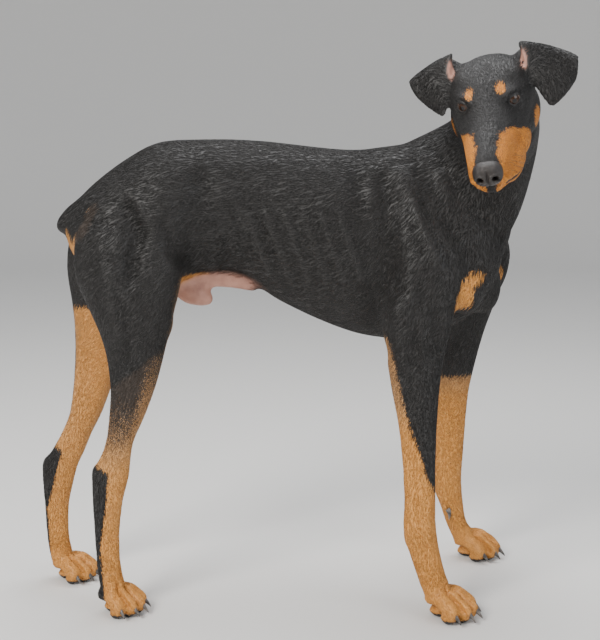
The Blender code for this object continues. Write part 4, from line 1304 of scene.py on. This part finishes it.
def paw_frame(name):
    """The frame of a paw, with x towards its toes."""
    (x, y), turn, size = PAWS[name]
    turned = Matrix.Translation((x, y, 0)) @ Matrix.Rotation(math.radians(turn), 4, "Z")
    return turned @ Matrix.Scale(size, 4)


def add_claw(form, place, start, length, thick):
    """A blunt claw that curves down along x, thicker than it is wide."""
    loops = []
    for k in range(CLAW_RINGS):
        t = k / (CLAW_RINGS - 1)
        size = thick * (1 - t ** 1.6) ** 0.7 * (1 - 0.25 * t) + 0.00025
        middle = Vector((length * t, 0, -CLAW_BEND * length * t * t)) + Vector(start)
        lean = math.atan(2 * CLAW_BEND * t)
        ring = []
        for side in range(CLAW_SIDES):
            turn = 2 * math.pi * side / CLAW_SIDES
            up, out = math.cos(turn) * size, math.sin(turn) * size * CLAW_FLATNESS
            spot = middle + Vector((math.sin(lean) * up, out, math.cos(lean) * up))
            ring.append(form.verts.new(place @ spot))
        loops.append(ring)
    for low, high in zip(loops, loops[1:]):
        for k in range(CLAW_SIDES):
            following = (k + 1) % CLAW_SIDES
            form.faces.new((low[k], low[following], high[following], high[k]))
    form.faces.new(loops[-1])
    form.faces.new(loops[0][::-1])


def claws_mesh(length, thick):
    """Four claws on each paw, and a dewclaw on each foreleg."""
    form = bmesh.new()
    for name in PAWS:
        for shift, y, turn in TOES:
            place = paw_frame(name) @ Matrix.Translation((shift, y, 0))
            place = place @ Matrix.Rotation(math.radians(turn), 4, "Z")
            add_claw(form, place, CLAW_ROOT, length, thick)
    for spot, turn in DEWCLAWS:
        place = Matrix.Translation(spot) @ Matrix.Rotation(math.radians(turn), 4, "Z")
        place = place @ Matrix.Rotation(math.radians(50), 4, "Y")
        add_claw(form, place, (-0.002, 0, 0), length * DEWCLAW_SIZE, thick * DEWCLAW_SIZE)
    bmesh.ops.recalc_face_normals(form, faces=form.faces)
    return mesh_of(form, "claws")


def claw_material():
    """Dark grey horn with paler streaks."""
    shader = Shader("horn")
    streak = shader.noise(160, 3)
    colour = shader.mix(shader.step(0.30, 0.75, streak), (0.040, 0.036, 0.034), (0.17, 0.150, 0.135))
    return shader.finish(Base_Color=colour, Roughness=0.28, Normal=shader.bump(streak, 0.0002, 0.4))


def make_claws(settings):
    """Adds the claws and the dewclaws."""
    replaced = [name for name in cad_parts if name.startswith(("claw", "dewclaw"))]
    mesh = claws_mesh(settings.length, settings.thickness)
    finished("claws", mesh, claw_material(), replaced)


# The studio

CAMERA_BACK = Vector((-0.245, -1.585, -0.046))  # from the middle of the head frame
CAMERA_FALL = math.radians(8.531)  # below level
SENSOR_WIDTH = 36  # in millimetres
FLOOR_RADIUS = 5.0
FLOOR_BEND = 2.0
WALL_HEIGHT = 5.0
BEND_STEPS = 16
FLOOR_SIDES = 96
SKY_COLOUR = (0.80, 0.83, 0.88)
SKY_STRENGTH = 0.75
# Each light's place, the point that it faces, its size and its colour
KEY_LIGHT = ((-1.6, -2.2, 2.3), (0, 0, 0.45), 1.4, (1, 0.97, 0.93))
FILL_LIGHT = ((2.4, -1.8, 1.3), (0, 0, 0.45), 1.8, (0.92, 0.96, 1))
TOP_LIGHT = ((0.1, 0.5, 2.6), (0, 0, 0.6), 1.6, (1, 1, 1))


def floor_mesh():
    """A round level floor that sweeps up into a wall all round."""
    turns = [math.pi / 2 * k / BEND_STEPS for k in range(1, BEND_STEPS + 1)]
    line = [(FLOOR_RADIUS + FLOOR_BEND * math.sin(t), FLOOR_BEND * (1 - math.cos(t))) for t in turns]
    line.append((FLOOR_RADIUS + FLOOR_BEND, WALL_HEIGHT))
    form = bmesh.new()
    bmesh.ops.create_circle(form, cap_ends=True, segments=FLOOR_SIDES, radius=FLOOR_RADIUS)
    edges = [edge for edge in form.edges if edge.is_boundary]
    for radius, height in line:
        made = bmesh.ops.extrude_edge_only(form, edges=edges)["geom"]
        edges = [part for part in made if isinstance(part, bmesh.types.BMEdge)]
        for vert in made:
            if isinstance(vert, bmesh.types.BMVert):
                flat = Vector((vert.co.x, vert.co.y, 0)).normalized() * radius
                vert.co = (flat.x, flat.y, height)
    bmesh.ops.recalc_face_normals(form, faces=form.faces)
    if next(face for face in form.faces if len(face.verts) > 4).normal.z < 0:
        bmesh.ops.reverse_faces(form, faces=form.faces)
    mesh = mesh_of(form, "floor")
    mesh.shade_smooth()
    return mesh


def soft_light(name, power, spot, target, size, colour):
    """Adds a round area light that faces a point."""
    data = bpy.data.lights.new(name, "AREA")
    data.shape = "DISK"
    data.size = size
    data.energy = power
    data.color = colour
    lamp = linked(name, data)
    lamp.location = spot
    lamp.rotation_euler = (Vector(target) - Vector(spot)).to_track_quat("-Z", "Y").to_euler()


def make_stage(settings):
    """Adds the floor, the lights and the camera."""
    material = Shader("studio floor").finish(Base_Color=tuple(settings.floor), Roughness=0.75)
    floor = linked("studio_floor", floor_mesh())
    floor.data.materials.append(material)
    world = bpy.data.worlds.new("studio")
    world.use_nodes = True
    sky = world.node_tree.nodes["Background"]
    sky.inputs["Color"].default_value = (*SKY_COLOUR, 1)
    sky.inputs["Strength"].default_value = SKY_STRENGTH
    bpy.context.scene.world = world
    soft_light("key", settings.key, *KEY_LIGHT)
    soft_light("fill", settings.fill, *FILL_LIGHT)
    soft_light("top", settings.top, *TOP_LIGHT)
    data = bpy.data.cameras.new("camera")
    data.lens = settings.lens
    data.sensor_width = SENSOR_WIDTH
    camera = linked("camera", data)
    camera.location = HEAD.translation + CAMERA_BACK
    camera.rotation_euler = (math.pi / 2 - CAMERA_FALL, 0, 0)
    bpy.context.scene.camera = camera


# The add-on

def length_property(name, description, default, highest):
    """A length of the panel."""
    return FloatProperty(
        name=name, description=description, default=default, min=0.0, max=highest,
        subtype="DISTANCE", unit="LENGTH", precision=5,
    )


def share_property(name, description, default):
    """A share of a whole, of the panel."""
    return FloatProperty(name=name, description=description, default=default, min=0.1, max=2)


def whole_property(name, description, default, lowest=0):
    """A whole number of the panel."""
    return IntProperty(name=name, description=description, default=default, min=lowest)


def power_property(name, description, default):
    """The power of a light."""
    return FloatProperty(name=name, description=description, default=default, min=0, unit="POWER")


def colour_property(name, description, default):
    """A colour of the panel."""
    return FloatVectorProperty(
        name=name, description=description, default=default, min=0, max=1, subtype="COLOR", size=3,
    )


class DogSkinSettings(bpy.types.PropertyGroup):
    """Settings of the skin."""

    facet: length_property("Facet size", "Size of the facets that the solids are fused with", 0.0022, 0.01)
    triangles: whole_property("Triangles", "Most triangles of the skin", 188000, 1000)


class DogCoatSettings(bpy.types.PropertyGroup):
    """Settings of the coat."""

    length: share_property("Length", "Share of the tufts' full length", 1.0)
    width: share_property("Width", "Share of the tufts' full width", 1.0)
    ridge: length_property("Ridge", "Height of a tuft's ridge over its edges", 0.00018, 0.002)
    seed: whole_property("Seed", "Number that the scatter of the tufts starts from", 20)


class DogEyeSettings(bpy.types.PropertyGroup):
    """Settings of the eyes."""

    iris: length_property("Iris", "Radius of the iris", 0.0072, 0.011)
    pupil: length_property("Pupil", "Radius of the pupil", 0.0030, 0.008)
    colour: colour_property("Colour", "Light brown of the iris", (0.060, 0.022, 0.007))


class DogNoseSettings(bpy.types.PropertyGroup):
    """Settings of the nose leather."""

    nostril: length_property("Nostrils", "Depth of the nostrils", 0.0075, 0.012)
    groove: length_property("Groove", "Depth of the groove between the nostrils", 0.0018, 0.005)


class DogWhiskerSettings(bpy.types.PropertyGroup):
    """Settings of the whiskers."""

    length: length_property("Length", "Length of a whisker", 0.026, 0.06)
    droop: share_property("Droop", "How far the tips hang, as a share of the length", 0.2)
    seed: whole_property("Seed", "Number that their scatter starts from", 4)


class DogClawSettings(bpy.types.PropertyGroup):
    """Settings of the claws."""

    length: length_property("Length", "Length of a claw, with its root in the toe", 0.0200, 0.03)
    thickness: length_property("Thickness", "Half the height of a claw at its root", 0.0054, 0.01)


class DogStageSettings(bpy.types.PropertyGroup):
    """Settings of the studio."""

    lens: FloatProperty(name="Lens", description="Focal length in millimetres", default=67.5, min=10, max=300)
    key: power_property("Key", "Power of the key light", 125)
    fill: power_property("Fill", "Power of the fill light", 30)
    top: power_property("Top", "Power of the top light", 45)
    floor: colour_property("Floor", "Colour of the floor", (0.74, 0.73, 0.71))


class DOG_OT_skin(bpy.types.Operator):
    """Fuses the solids into one skin and models its folds"""

    bl_idname = "dog.skin"
    bl_label = "Make the Skin"

    def execute(self, context):
        make_skin(context.scene.dog_skin)
        return {"FINISHED"}


class DOG_OT_coat(bpy.types.Operator):
    """Lays the short coat on the skin"""

    bl_idname = "dog.coat"
    bl_label = "Make the Coat"

    def execute(self, context):
        make_coat(context.scene.dog_coat, bpy.data.objects["skin"].data)
        return {"FINISHED"}


class DOG_OT_eyes(bpy.types.Operator):
    """Makes the two eyeballs"""

    bl_idname = "dog.eyes"
    bl_label = "Make the Eyes"

    def execute(self, context):
        make_eyes(context.scene.dog_eyes)
        return {"FINISHED"}


class DOG_OT_nose(bpy.types.Operator):
    """Makes the nose leather"""

    bl_idname = "dog.nose"
    bl_label = "Make the Nose"

    def execute(self, context):
        make_nose(context.scene.dog_nose)
        return {"FINISHED"}


class DOG_OT_whiskers(bpy.types.Operator):
    """Sets the whiskers in the muzzle"""

    bl_idname = "dog.whiskers"
    bl_label = "Make the Whiskers"

    def execute(self, context):
        make_whiskers(context.scene.dog_whiskers, bpy.data.objects["skin"].data)
        return {"FINISHED"}


class DOG_OT_claws(bpy.types.Operator):
    """Makes the claws and the dewclaws"""

    bl_idname = "dog.claws"
    bl_label = "Make the Claws"

    def execute(self, context):
        make_claws(context.scene.dog_claws)
        return {"FINISHED"}


class DOG_OT_stage(bpy.types.Operator):
    """Makes the floor, the lights and the camera"""

    bl_idname = "dog.stage"
    bl_label = "Make the Stage"

    def execute(self, context):
        make_stage(context.scene.dog_stage)
        return {"FINISHED"}


GROUPS = {
    "dog_skin": DogSkinSettings,
    "dog_coat": DogCoatSettings,
    "dog_eyes": DogEyeSettings,
    "dog_nose": DogNoseSettings,
    "dog_whiskers": DogWhiskerSettings,
    "dog_claws": DogClawSettings,
    "dog_stage": DogStageSettings,
}
OPERATORS = (
    DOG_OT_skin, DOG_OT_coat, DOG_OT_eyes, DOG_OT_nose, DOG_OT_whiskers, DOG_OT_claws, DOG_OT_stage,
)


class DOG_PT_panel(bpy.types.Panel):
    """Lists the settings and the steps in their order"""

    bl_idname = "DOG_PT_panel"
    bl_label = "Doberman Pinscher"
    bl_space_type = "VIEW_3D"
    bl_region_type = "UI"
    bl_category = "Dog"

    def draw(self, context):
        for (name, group), operator in zip(GROUPS.items(), OPERATORS):
            box = self.layout.box()
            for key in group.__annotations__:
                box.prop(getattr(context.scene, name), key)
            box.operator(operator.bl_idname)


def register():
    """Adds the settings, the operators and the panel to Blender."""
    for name, group in GROUPS.items():
        bpy.utils.register_class(group)
        setattr(bpy.types.Scene, name, PointerProperty(type=group))
    for kind in (*OPERATORS, DOG_PT_panel):
        bpy.utils.register_class(kind)


def unregister():
    """Takes them out again."""
    for kind in (DOG_PT_panel, *reversed(OPERATORS)):
        bpy.utils.unregister_class(kind)
    for name, group in GROUPS.items():
        delattr(bpy.types.Scene, name)
        bpy.utils.unregister_class(group)


def main():
    """Makes the whole dog."""
    register()
    for operator in OPERATORS:
        module, name = operator.bl_idname.split(".")
        getattr(getattr(bpy.ops, module), name)()


if __name__ == "__main__":
    main()
